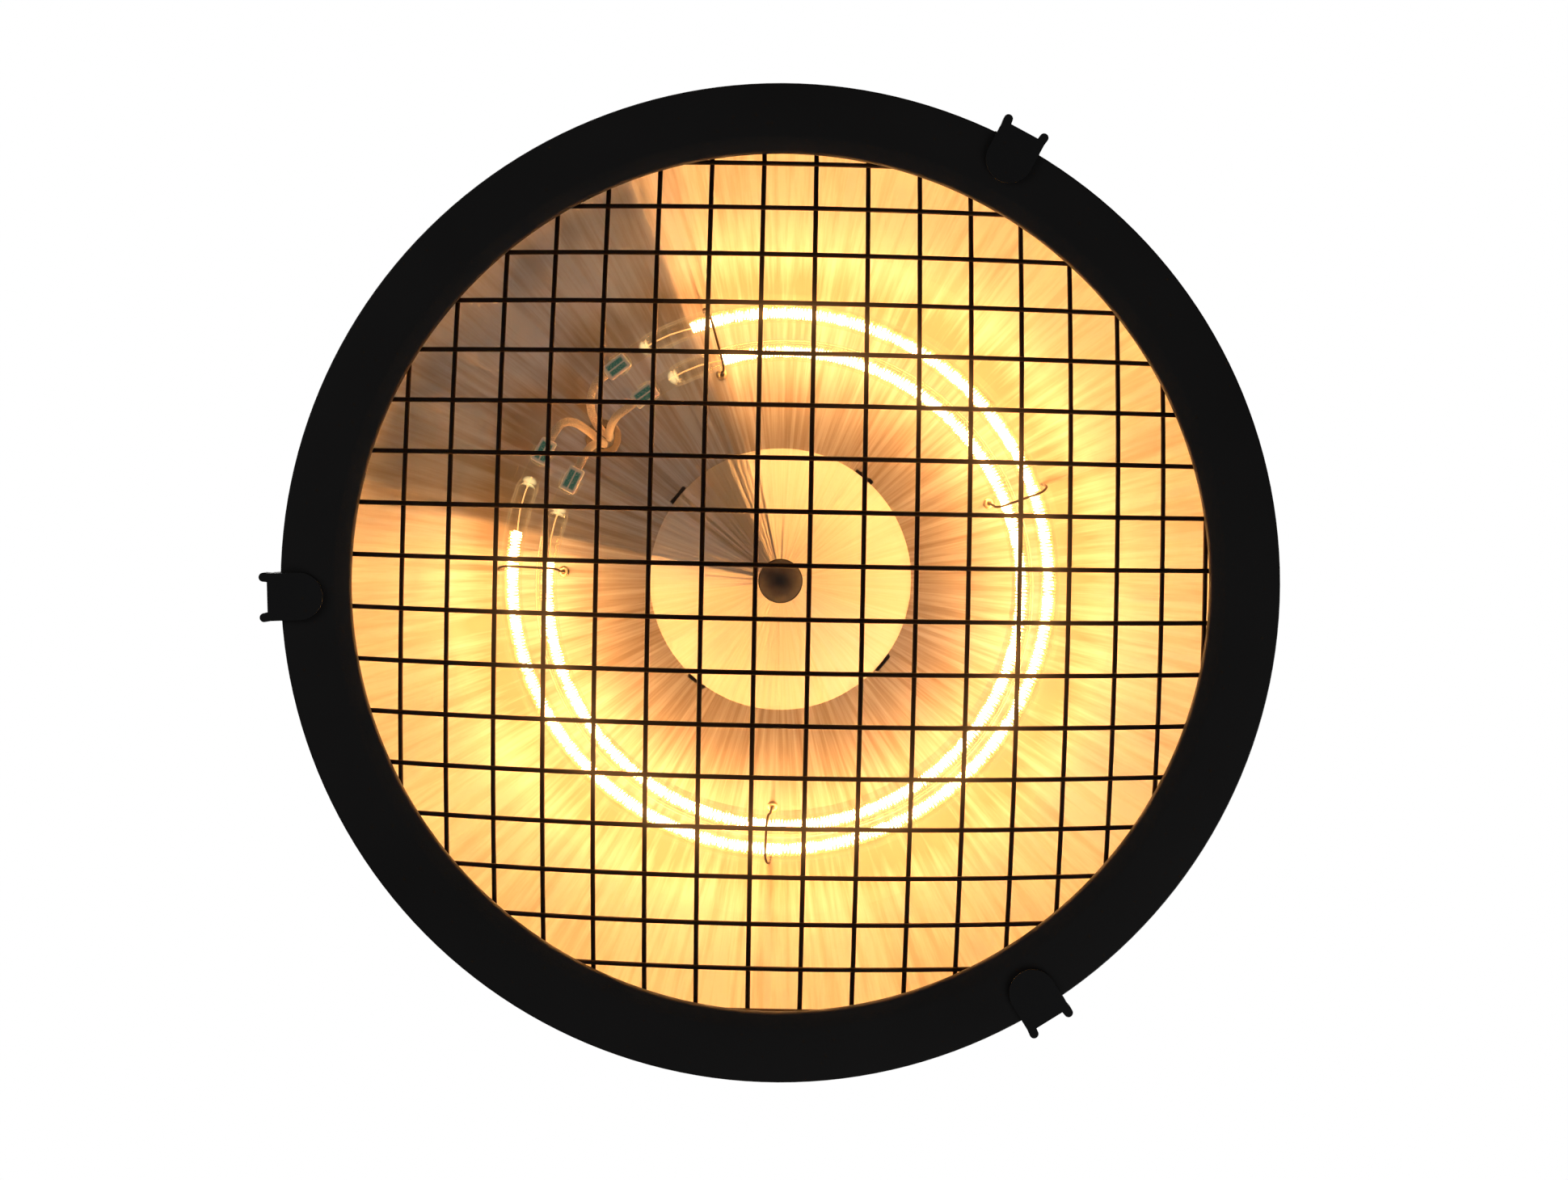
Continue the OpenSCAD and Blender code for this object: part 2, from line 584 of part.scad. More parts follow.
// Each row: share of the way to the grommet, bow aside as a share of that way, share of the rise
far_outer_way = [
    [0.13, 0.13, 0.02], [0.34, 0.22, 0.14], [0.59, 0.23, 0.36], [0.81, 0.15, 0.61], [0.96, 0.04, 0.82]];
near_outer_way = [
    [0.13, -0.2, 0.02], [0.28, -0.36, 0.11], [0.52, -0.38, 0.29], [0.74, -0.25, 0.5], [0.91, -0.1, 0.73]];
far_inner_way = [
    [0.23, 0.05, 0.01], [0.46, 0.11, 0.12], [0.68, 0.11, 0.31], [0.85, 0.07, 0.58], [0.96, 0.02, 0.8]];
near_inner_way = [
    [0.35, -0.09, 0.02], [0.56, -0.15, 0.11], [0.75, -0.16, 0.26], [0.88, -0.13, 0.46], [0.97, -0.06, 0.69]];
// Each row: distance from the axis, height, and how far the leads have fanned out to the terminals
trunk = [
    [lead_hole_r, mirror_z, 0], [lead_hole_r, mirror_z + 6, 0], [lead_hole_r - 1.2, mirror_z + 12.5, 0],
    [lead_hole_r - 5.2, mirror_z + 19, 0], [lead_hole_r - 12.2, lead_run_z - 5.5, 0],
    [lead_hole_r - 21.7, lead_run_z - 2, 0], [lead_hole_r - 32.7, lead_run_z - 0.5, 0],
    [shade_hole_at + 19, lead_run_z, 0], [shade_hole_at + 10, lead_run_z + 1, 0],
    [shade_hole_at + 3.5, top_z - 5, 0], [shade_hole_at + 0.5, top_z + 0.5, 0],
    [shade_hole_at, top_z + 6, 0.05], [shade_hole_at - 2, entry_z - 3.5, 0.2],
    [shade_hole_at - 6.5, entry_z - 0.5, 0.5], [shade_hole_at - 12.5, entry_z, 0.85],
    [block_out + 3, entry_z, 1], [block_out - entry_l + 2, entry_z, 1]
];
function trunk_normal(i) = let (a = trunk[max(i - 1, 0)], b = trunk[min(i + 1, len(trunk) - 1)],
    d = unit([b[0] - a[0], b[1] - a[1]])) [d[1], -d[0]];
function trunk_point(i, out, side) = let (n = trunk_normal(i) * out * bundle,
    fan = side * (bundle + trunk[i][2] * (terminal_spread + out * terminal_step - bundle)))
    polar(trunk[i][0] + n[0], lead_hole_az, trunk[i][1] + n[1]) + fan * polar(1, lead_hole_az + 90, 0);
function past_cap(lamp, side, run) = cap_middle(lamp, side)
    + (cap_l / 2 + run) * cap_way(lamp, side);
function lead_way(from, to, shares) = let (way = to - from) [for (share = shares) from + [
    share[0] * way[0] - share[1] * way[1],
    share[0] * way[1] + share[1] * way[0],
    share[2] * way[2]]];
module lead(lamp, side, shares) {
    out = lamp == 0 ? 1 : -1;
    mouth = past_cap(lamp, side, 0.5);
    p = concat([past_cap(lamp, side, -lead_bore_l), mouth],
        lead_way(mouth, trunk_point(0, out, side), shares),
        [for (i = [0 : len(trunk) - 1]) trunk_point(i, out, side)]);
    swept_tube(p, lead_d, 8, carried_all(p));
}
module lead_outer_far() color("#f3d79a") hang() lead(0, 1, far_outer_way);
module lead_outer_near() color("#f3d79a") hang() lead(0, -1, near_outer_way);
module lead_inner_far() color("#f3d79a") hang() lead(1, 1, far_inner_way);
module lead_inner_near() color("#f3d79a") hang() lead(1, -1, near_inner_way);

// Grommet in the reflector and bushing in the shade's top, each a collar with two flanges
flange_w = 2;
flange_t = 1.2;
grommet_hole_r = grommet_bore_d / 2 + grommet_wall;
bushing_wall = 2;
module collar(bore_r, hole_r, low, high) {
    ring_block(bore_r, hole_r, low - flange_t, high + flange_t);
    ring_block(bore_r, hole_r + flange_w, low - flange_t, low);
    ring_block(bore_r, hole_r + flange_w, high, high + flange_t);
}
module lead_grommet() color("#8a6a48") hang() at_az(lead_hole_az, lead_hole_r)
    collar(grommet_bore_d / 2, grommet_hole_r, mirror_height(lead_hole_r + grommet_hole_r + flange_w),
        mirror_z + mirror_sheet);
module shade_bushing() color("#1a1a1a") hang() at_az(lead_hole_az, shade_hole_at)
    collar(shade_hole_r - bushing_wall, shade_hole_r, top_z - shade_sheet, top_z + housing_wall);

// Heat shield, hung under the shade's top on three spacers
shield_t = 0.8;
spacer_d = 8;
spacer_at = 55;
module heat_shield() color("#b8b8b8") hang() translate([0, 0, shield_z])
    cylinder(d = shield_d, h = shield_t);
module shield_spacers() color("#b8b8b8") hang() repeat_az(3, housing_screw_az)
    translate([spacer_at, 0, shield_z + shield_t])
        cylinder(d = spacer_d, h = top_z - shade_sheet - shield_z - shield_t);

screw_head_h = 2;
screw_tail = 3;
module rim_screws() color("#2a2a2a") hang() repeat_az(rim_screw_count, rim_screw_az)
    translate([rim_screw_at, 0, foot_z + shade_sheet])
        screw(rim_screw_d, shade_sheet + mirror_sheet + screw_tail, 2 * rim_screw_d - 1, screw_head_h);
module housing_screws() color("#2a2a2a") hang() repeat_az(housing_screw_count, housing_screw_az)
    translate([housing_screw_at, 0, top_z + housing_wall])
        screw(housing_screw_d, housing_wall + shade_sheet + screw_tail,
            2 * housing_screw_d - 1, screw_head_h);

// Terminal housing: a round can with vents, flat bosses for the pivots and the gland, and screw bosses
boss_r = 11;
pivot_az = [0, 180];
vent_keep = 13;
vent_rise = 16;
lid_screw_d = 3;
lid_screw_l = 10;
function turn_apart(a, b) = abs((a - b + 540) % 360 - 180);
function vent_free(az) = min([for (b = concat(pivot_az, [gland_az])) turn_apart(az, b)]) > vent_keep;
module wall_boss(az, z) at_az(az, 0, z) along_x() translate([0, 0, face_r - boss_l])
    cylinder(r = boss_r, h = boss_l);
module wall_hole(az, z, r) at_az(az, 0, z) along_x() translate([0, 0, face_r - boss_l - 1])
    cylinder(r = r, h = boss_l + 2);
module housing() color("#181818") hang() difference() {
    union() {
        difference() {
            translate([0, 0, top_z]) cylinder(r = housing_r, h = housing_h);
            translate([0, 0, top_z + housing_wall]) cylinder(r = housing_r - housing_wall, h = housing_h);
        }
        for (az = pivot_az) wall_boss(az, pivot_z);
        wall_boss(gland_az, gland_z);
        repeat_az(lid_screw_count, lid_screw_az) translate([lid_boss_at, 0, top_z + eps])
            cylinder(r = lid_boss_r, h = housing_h - lid_boss_drop);
    }
    for (az = pivot_az) wall_hole(az, pivot_z, bolt_r);
    wall_hole(gland_az, gland_z, gland_shank_d / 2);
    for (i = [0 : vent_count - 1]) let (az = (i + 0.5) * 360 / vent_count) if (vent_free(az))
        at_az(az, housing_r - 2 * housing_wall, top_z + vent_rise) translate([0, -vent_w / 2, 0])
            cube([3 * housing_wall, vent_w, vent_h]);
    housing_screw_holes(top_z - 1, housing_wall + 2);
    at_az(lead_hole_az, shade_hole_at, top_z - 1) cylinder(r = shade_hole_r, h = housing_wall + 2);
    repeat_az(lid_screw_count, lid_screw_az) translate([lid_boss_at, 0, lid_z - lid_screw_l])
        cylinder(d = lid_screw_d, h = lid_screw_l + 1);
}
module housing_lid() color("#181818") hang() difference() {
    rotate_extrude() polygon([
        [0, lid_z], [housing_r, lid_z], [housing_r, lid_z + housing_wall * 0.5],
        [housing_r - housing_wall * 0.5, lid_z + housing_wall], [0, lid_z + housing_wall]
    ]);
    repeat_az(lid_screw_count, lid_screw_az) translate([lid_boss_at, 0, lid_z - 1])
        cylinder(d = lid_screw_d + 0.2, h = housing_wall + 2);
}
module lid_screws() color("#2a2a2a") hang() repeat_az(lid_screw_count, lid_screw_az)
    translate([lid_boss_at, 0, lid_z + housing_wall])
        screw(lid_screw_d, housing_wall + lid_screw_l - 1, 2 * lid_screw_d - 0.5, screw_head_h);

// Ceramic terminal block: two entries at two heights on each side, screws from above
terminal_screw_d = 5;
floor_z = top_z + housing_wall;
module at_block() at_az(lead_hole_az) children();
module at_terminals() for (out = [-1, 1]) for (side = [-1, 1])
    translate([0, side * (terminal_spread + out * terminal_step), entry_z + out * bundle]) children();
module terminal_block() color("#efeadd") hang() at_block() difference() {
    translate([-block_back, -block_half, floor_z]) cube([block_out + block_back, 2 * block_half, block_h]);
    at_terminals() along_x() {
        translate([0, 0, block_out - entry_l]) cylinder(d = entry_d, h = entry_l + 1);
        translate([0, 0, -block_back - 1]) cylinder(d = entry_d, h = entry_l + 1);
    }
    for (out = [-1, 1]) for (side = [-1, 1])
        translate([2, side * (terminal_spread + out * terminal_step), floor_z + block_h - 4])
            cylinder(d = terminal_screw_d + 0.6, h = 5);
}
module terminal_screws() color("#c8a24a") hang() at_block() for (out = [-1, 1]) for (side = [-1, 1])
    translate([2, side * (terminal_spread + out * terminal_step), floor_z + block_h - 4])
        cylinder(d = terminal_screw_d, h = 3);
cutout_az = 100;
cutout_at = 32;
module thermal_cutout() color("#5a4636") hang() at_az(cutout_az, cutout_at, floor_z) {
    translate([-11, -3.5, 0]) cube([22, 7, 0.8]);
    cylinder(d = 15, h = 6);
    for (side = [-1, 1]) translate([-0.4, side * 4 - 1.5, 6 - eps]) cube([0.8, 3, 7]);
}

// Cable gland: a shank through the wall, a body, a domed cap and a locknut, all on one bore
gland_body_l = 8;
locknut_l = 4;
shank_over = 2;
module at_gland() at_az(gland_az, 0, gland_z) along_x() translate([0, 0, face_r]) children();
module gland_bore() translate([0, 0, -boss_l - locknut_l - shank_over - 1])
    cylinder(d = gland_bore_d, h = gland_l + boss_l + locknut_l + shank_over + 2);
module cable_gland() color("#1a1a1a") hang() at_gland() difference() {
    union() {
        translate([0, 0, -boss_l - locknut_l - shank_over])
            cylinder(d = gland_shank_d, h = boss_l + locknut_l + shank_over + eps);
        cylinder(d = gland_d * 1.12, h = gland_body_l, $fn = 6);
    }
    gland_bore();
}
module gland_cap() color("#1a1a1a") hang() at_gland() difference() {
    translate([0, 0, gland_body_l]) rotate_extrude() polygon([
        [0, 0], [gland_d / 2, 0], [gland_d / 2, gland_l - gland_body_l - 3],
        [gland_d / 2 - 2.5, gland_l - gland_body_l], [0, gland_l - gland_body_l]
    ]);
    gland_bore();
}
module gland_locknut() color("#1a1a1a") hang() at_gland() translate([0, 0, -boss_l - locknut_l])
    hex_nut(gland_shank_d + 7, locknut_l, gland_shank_d);

// Bail: a strap bent over the housing, hung from the hole in its top, free to swing on two bolts
bail_corner_r = 14;
bolt_head_l = 5.3;
bolt_tail = 9;
module bail() color("#161616") hang() difference() {
    union() {
        for (side = [0, 180]) rotate([0, 0, side]) {
            translate([bail_in_r, 0, pivot_z]) along_x() cylinder(d = strap_w, h = strap_t);
            translate([bail_in_r, -strap_w / 2, pivot_z])
                cube([strap_t, strap_w, bail_h - bail_corner_r - strap_t]);
            translate([bail_in_r - bail_corner_r, 0, bail_top_z - bail_corner_r - strap_t])
                rotate([90, 0, 0]) translate([0, 0, -strap_w / 2]) rotate_extrude(angle = 90)
                    translate([bail_corner_r, 0]) square([strap_t, strap_w]);
        }
        translate([-bail_in_r + bail_corner_r, -strap_w / 2, bail_top_z - strap_t])
            cube([2 * (bail_in_r - bail_corner_r), strap_w, strap_t]);
    }
    translate([0, 0, bail_top_z - strap_t - 1]) cylinder(d = hang_hole_d, h = strap_t + 2);
    translate([-bail_in_r - strap_t - 1, 0, pivot_z]) along_x()
        cylinder(r = bolt_r + bore_gap, h = 2 * (bail_in_r + strap_t + 1));
}
module both_pivots() for (az = pivot_az) at_az(az, 0, pivot_z) along_x() children();
module pivot_bolts() color("#c0c0c0") hang() both_pivots() {
    head_from = bail_in_r + strap_t + run_gap;
    translate([0, 0, head_from]) cylinder(d = 1.7 * bolt_d, h = bolt_head_l, $fn = 6);
    translate([0, 0, face_r - boss_l - bolt_tail])
        cylinder(r = bolt_r, h = head_from - face_r + boss_l + bolt_tail + eps);
}
module pivot_nuts() color("#c0c0c0") hang() both_pivots()
    translate([0, 0, face_r - boss_l - 0.8 * bolt_d]) hex_nut(1.7 * bolt_d, 0.8 * bolt_d, bolt_d);
module pivot_washers() color("#303030") hang() both_pivots() translate([0, 0, face_r])
    ring_block(bolt_r + bore_gap, boss_r - 1.5, 0, washer_t - run_gap);

// Latches: a riveted bracket with two knuckles, a pin, a spring round it and a lever over the rim
rivet_d = 2.4;
latch_rivet_head_d = rivet_d + 1.6;
rivet_y = 3.4;
rivet_x = foot_r + 4;
bracket_x = foot_r + 1.6;
bracket_half = knuckle_l + 2.6;
module rivet_places() for (side = [-1, 1]) translate([rivet_x, side * rivet_y, 0]) children();
module at_latch(i) at_az(latch_az + i * latch_step) children();
module all_latches() for (i = [0 : latch_count - 1]) at_latch(i) children();
module rivet_holes(d, z_low, height) all_latches() rivet_places() translate([0, 0, z_low])
    cylinder(d = d, h = height);
bracket_z = foot_z + shade_sheet;
module bracket_arm() upright(knuckle_l) difference() {
    union() {
        translate([pin_x, pin_z]) circle(r = knuckle_r);
        polygon([
            [foot_r + 7, bracket_z], [pin_x - 0.5, pin_z - knuckle_r + 0.2], [pin_x, pin_z],
            [pin_x - 1.5, pin_z + knuckle_r - 0.5], [foot_r + 6, bracket_z + bracket_t]
        ]);
    }
    translate([pin_x, pin_z]) circle(d = pin_d);
}
module latch_brackets() color("#171717") hang() all_latches() {
    difference() {
        translate([bracket_x, -bracket_half, bracket_z])
            cube([skirt_r - 0.3 - bracket_x, 2 * bracket_half, bracket_t]);
        rivet_places() translate([0, 0, bracket_z - 1]) cylinder(d = rivet_d, h = bracket_t + 2);
    }
    for (side = [-1, 1]) translate([0, side * (bracket_half - knuckle_l / 2), 0]) bracket_arm();
}
module bracket_rivets() color("#242424") hang() all_latches() rivet_places() {
    translate([0, 0, foot_z - 0.8]) cylinder(d = latch_rivet_head_d, h = 0.8);
    translate([0, 0, foot_z - eps]) cylinder(d = rivet_d, h = shade_sheet + bracket_t + 2 * eps);
    translate([0, 0, bracket_z + bracket_t]) cylinder(d = latch_rivet_head_d, h = 1);
}
module latch_pins() color("#8a8a8a") hang() all_latches() translate([pin_x, 0, pin_z]) rotate([90, 0, 0])
    cylinder(d = pin_d, h = latch_w + 1.6, center = true);
spring_pitch = spring_wire_d + 0.45;
spring_r = pin_d / 2 + 0.2 + spring_wire_d / 2;
function spring_point(i) = let (turn = 270 + 360 * i / coil_rings,
    along = (i / coil_rings - spring_turns / 2) * spring_pitch)
    [pin_x + spring_r * cos(turn), along, pin_z + spring_r * sin(turn)];
module latch_spring() {
    last = spring_turns * coil_rings;
    start = spring_point(0);
    end = spring_point(last);
    p = concat([start - [4.5, 0, 0], start - [2, 0, 0]],
        [for (i = [0 : last]) spring_point(i)], [end + [1.2, 0, 0]]);
    swept_tube(p, spring_wire_d, coil_sides, carried_all(p));
}
module latch_springs() color("#9a9a9a") hang() all_latches() latch_spring();

// Lever: a tongue under the ring, a web outside it, two cheeks on the pin that end in horns
horn_r = cheek_t / 2;
horn_h = 11;
horn_flare = 8;
lever_x = ring_r + 2 * run_gap;
module latch_lever(i) color("#131313") hang() at_latch(i) {
    translate([ring_r - latch_reach + latch_w / 2, 0, horn_foot_z]) cylinder(d = latch_w, h = tongue_t);
    translate([ring_r - latch_reach + latch_w / 2, -latch_w / 2, horn_foot_z])
        cube([web_x + web_t - ring_r + latch_reach - latch_w / 2, latch_w, tongue_t]);
    translate([web_x, -latch_w / 2, horn_foot_z]) cube([web_t, latch_w, web_top_z - horn_foot_z]);
    for (side = [-1, 1]) {
        translate([0, side * (cheek_y + cheek_t / 2), 0]) upright(cheek_t) difference() {
            union() {
                translate([pin_x, pin_z]) circle(r = cheek_r);
                translate([lever_x, horn_foot_z]) square([web_x + web_t - lever_x, pin_z - horn_foot_z]);
            }
            translate([pin_x, pin_z]) circle(r = pin_d / 2 + bore_gap);
        }
        translate([web_x, side * (latch_w / 2 - horn_r), horn_foot_z]) rotate([0, 0, side * horn_flare])
            linear_extrude(horn_h) {
                translate([0, -horn_r]) square([web_t + horn_l - horn_r, 2 * horn_r]);
                translate([web_t + horn_l - horn_r, 0]) circle(r = horn_r, $fn = wire_fn);
            }
    }
}
module latch_lever_1() latch_lever(0);
module latch_lever_2() latch_lever(1);
module latch_lever_3() latch_lever(2);

bail();
shade();
reflector();
centre_cone();
cone_stud();
cone_nut();
nose_cap();
guard_ring();
guard_hoop();
guard_wires_across();
guard_wires_down();
guard_clamps();
outer_lamp_glass();
inner_lamp_glass();
outer_filament();
inner_filament();
outer_lamp_caps();
inner_lamp_caps();
lamp_supports();
support_rivets();
lead_outer_far();
lead_outer_near();
lead_inner_far();
lead_inner_near();
lead_grommet();
shade_bushing();
heat_shield();
shield_spacers();
rim_screws();
housing();
housing_lid();
lid_screws();
housing_screws();
terminal_block();
terminal_screws();
thermal_cutout();
cable_gland();
gland_cap();
gland_locknut();
pivot_bolts();
pivot_nuts();
pivot_washers();
latch_brackets();
bracket_rivets();
latch_pins();
latch_springs();
latch_lever_1();
latch_lever_2();
latch_lever_3();
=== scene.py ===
# %% [markdown]
# # A hanging parabolic heater, seen from below
# The photograph looks straight up into a lit heater: a flat black ring, a domed wire guard, two
# ring lamps and a bright reflector behind them. The solids come from the CAD frame, which fixes
# every size and place. This script gives each of them its surface, and remakes the ones whose
# curves or edges show: spun sheet, bent wire, blown quartz, woven leads.

# %% The frame
import json
import math
import random
import bpy
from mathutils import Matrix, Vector

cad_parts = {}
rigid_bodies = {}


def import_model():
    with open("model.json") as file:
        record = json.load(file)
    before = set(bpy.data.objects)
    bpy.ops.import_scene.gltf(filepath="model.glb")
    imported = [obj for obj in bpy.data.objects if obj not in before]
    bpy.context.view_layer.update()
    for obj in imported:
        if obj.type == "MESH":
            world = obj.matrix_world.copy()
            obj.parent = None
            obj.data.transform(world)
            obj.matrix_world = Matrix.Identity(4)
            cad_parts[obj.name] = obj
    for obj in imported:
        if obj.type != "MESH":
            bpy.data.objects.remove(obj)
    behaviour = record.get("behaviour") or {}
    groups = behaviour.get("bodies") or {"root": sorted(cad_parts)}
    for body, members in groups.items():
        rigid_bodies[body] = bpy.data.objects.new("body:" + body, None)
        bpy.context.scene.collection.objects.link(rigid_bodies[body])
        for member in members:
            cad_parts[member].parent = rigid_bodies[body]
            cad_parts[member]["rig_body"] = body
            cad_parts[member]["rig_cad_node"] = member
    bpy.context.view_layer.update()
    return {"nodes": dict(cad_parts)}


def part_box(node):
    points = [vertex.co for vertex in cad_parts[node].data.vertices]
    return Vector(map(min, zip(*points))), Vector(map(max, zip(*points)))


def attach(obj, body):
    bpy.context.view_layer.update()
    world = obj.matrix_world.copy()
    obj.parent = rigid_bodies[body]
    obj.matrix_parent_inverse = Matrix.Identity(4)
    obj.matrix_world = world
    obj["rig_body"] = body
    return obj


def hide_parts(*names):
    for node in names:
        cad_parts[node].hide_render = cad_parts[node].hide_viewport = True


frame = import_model()
MM = 0.001
print("CAD nodes:", len(frame["nodes"]))

# %% [markdown]
# The ring's and the hoop's sizes are read from the frame. The other sizes follow from them, or
# repeat the solids' own. Sizes are in mm, and heights are counted from the flat face of the guard
# ring, which is the lowest flat of the rim. FACE_Z is that face's own height, in metres.

# %% Sizes read from the frame
ring_low, ring_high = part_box("guard_ring")
FACE_Z = ring_low.z
RING_R = ring_high.x / MM
hoop_low, hoop_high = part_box("guard_hoop")
HOOP_R = (hoop_high.x - (hoop_high.z - hoop_low.z) / 2) / MM
HOOP_LEVEL = ((hoop_low.z + hoop_high.z) / 2 - FACE_Z) / MM
# The lamps' ends face each other across a gap, whose middle lies in this direction
GAP_AZ = math.radians(222.3)
print("ring radius", round(RING_R, 1), "mm, face at", round(FACE_Z / MM, 1), "mm")


def polar(radius, azimuth, z=0.0):
    """A point at this distance and direction from the heater's axis."""
    return Vector((radius * math.cos(azimuth), radius * math.sin(azimuth), z))


def height(mm):
    """The row height of a level counted in mm from the ring's face."""
    return FACE_Z + mm * MM


# %% [markdown]
# ## Working by operators
# Blender's operators act on whatever is selected, and the loaded CAD nodes are selected. So every
# piece starts with nothing selected. These helpers are the hand moves that most pieces share.

# %% Selecting, finishing and handing over a piece
def nothing_selected():
    if bpy.context.object and bpy.context.object.mode != "OBJECT":
        bpy.ops.object.mode_set(mode="OBJECT")
    bpy.ops.object.select_all(action="DESELECT")


def only(obj):
    nothing_selected()
    obj.select_set(True)
    bpy.context.view_layer.objects.active = obj
    return obj


def edit_all():
    """Goes into edit mode with the whole mesh selected."""
    bpy.ops.object.mode_set(mode="EDIT")
    bpy.ops.mesh.select_all(action="SELECT")


def select_where(obj, test):
    """In edit mode, selects the vertices that pass a test."""
    bpy.ops.mesh.select_all(action="DESELECT")
    bpy.ops.object.mode_set(mode="OBJECT")
    for vertex in obj.data.vertices:
        vertex.select = test(vertex)
    bpy.ops.object.mode_set(mode="EDIT")
    bpy.ops.mesh.select_mode(type="VERT")


def block_at(place, azimuth, size):
    """A block turned to face this way; its place is in metres, its three sizes in mm."""
    nothing_selected()
    bpy.ops.mesh.primitive_cube_add(size=MM, location=place, rotation=(0, 0, azimuth), scale=size)
    return bpy.context.object


def modified(obj, kind, **settings):
    """Adds a modifier and applies it."""
    only(obj)
    modifier = obj.modifiers.new(kind.title(), kind)
    for name, value in settings.items():
        setattr(modifier, name, value)
    bpy.ops.object.modifier_apply(modifier=modifier.name)
    return obj


def joined(first, *others):
    """Joins the other meshes to the first."""
    only(first)
    for other in others:
        other.select_set(True)
    bpy.ops.object.join()
    return first


def cut_by(obj, cutter):
    """Takes the cutter's shape out of a mesh, and deletes the cutter."""
    modified(obj, "BOOLEAN", object=cutter, operation="DIFFERENCE", solver="EXACT")
    only(cutter)
    bpy.ops.object.delete()
    return only(obj)


def settled(obj, name, angle):
    """Puts the place into the mesh, merges doubles, turns faces outwards and smooths the curves."""
    only(obj)
    bpy.ops.object.transform_apply(location=True, rotation=True, scale=True)
    edit_all()
    bpy.ops.mesh.remove_doubles(threshold=0.002 * MM)
    bpy.ops.mesh.normals_make_consistent(inside=False)
    bpy.ops.object.mode_set(mode="OBJECT")
    bpy.ops.object.shade_smooth_by_angle(angle=math.radians(angle))
    obj.name = name
    return obj


def piece(obj, material, slot, body, *nodes):
    """Gives a finished piece its material, its body and the CAD nodes that it stands for."""
    obj.data.materials.clear()
    obj.data.materials.append(material)
    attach(obj, body)
    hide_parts(*nodes)
    print(obj.name, len(obj.data.polygons), "faces, for", ", ".join(nodes) or "no CAD node")
    return obj


# %% [markdown]
# Spun sheet is made like the real thing: its outline is drawn once, beside the axis, and turned
# through a full circle. The outline starts as a plane merged to one point, and each further point
# is an extruded step.

# %% Spinning an outline round the axis
def spun(name, outline, steps=192, angle=35):
    """outline is a closed list of (radius, height) in mm, counted from the ring's face."""
    nothing_selected()
    start = outline[0]
    bpy.ops.mesh.primitive_plane_add(size=MM, location=(start[0] * MM, 0, height(start[1])))
    obj = bpy.context.object
    bpy.ops.object.mode_set(mode="EDIT")
    bpy.ops.mesh.merge(type="CENTER")
    for (r0, z0), (r1, z1) in zip(outline, outline[1:]):
        bpy.ops.mesh.extrude_region_move(
            TRANSFORM_OT_translate={"value": ((r1 - r0) * MM, 0, (z1 - z0) * MM)})
    if outline[0][0] > 0 or outline[-1][0] > 0:
        ends = (0, len(outline) - 1)
        select_where(obj, lambda v: v.index in ends)
        bpy.ops.mesh.edge_face_add()
    bpy.ops.mesh.select_all(action="SELECT")
    bpy.ops.mesh.spin(steps=steps, angle=2 * math.pi, center=(0, 0, 0), axis=(0, 0, 1))
    return settled(obj, name, angle)


def arc(centre, radius, start, end, steps):
    """Outline points along an arc, in degrees, both ends included."""
    turns = [math.radians(start + (end - start) * i / steps) for i in range(steps + 1)]
    return [(centre[0] + radius * math.cos(t), centre[1] + radius * math.sin(t)) for t in turns]


# %% [markdown]
# Turned, moulded and folded parts keep their CAD shape, but a real edge is never knife sharp. A
# copy of the node is merged, its flats are joined up, and its sharp edges get a small bevel that
# catches the light. Weighted normals keep the flats flat beside their rounded edges.

# %% Rounding the edges of a CAD node
def softened(node, width):
    """A copy of a node, its sharp edges rounded over this width in mm."""
    only(frame["nodes"][node])
    bpy.ops.object.duplicate()
    obj = bpy.context.object
    obj.parent = None
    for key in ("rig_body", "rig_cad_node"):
        if key in obj:
            del obj[key]
    edit_all()
    bpy.ops.mesh.remove_doubles(threshold=0.002 * MM)
    bpy.ops.mesh.dissolve_limited(angle_limit=math.radians(0.5))
    bpy.ops.object.mode_set(mode="OBJECT")
    modified(obj, "BEVEL", width=width * MM, segments=2, limit_method="ANGLE",
             angle_limit=math.radians(30), use_clamp_overlap=True)
    bpy.ops.object.shade_smooth_by_angle(angle=math.radians(25))
    modified(obj, "WEIGHTED_NORMAL", weight=100, keep_sharp=True)
    obj.name = node + "_soft"
    return obj


# %% [markdown]
# ## Shader arithmetic
# A finish is mostly arithmetic on patterns. One small class wraps a socket, so that an expression
# such as 1 - mask * 0.3 adds its Math nodes, and one method adds any other node.

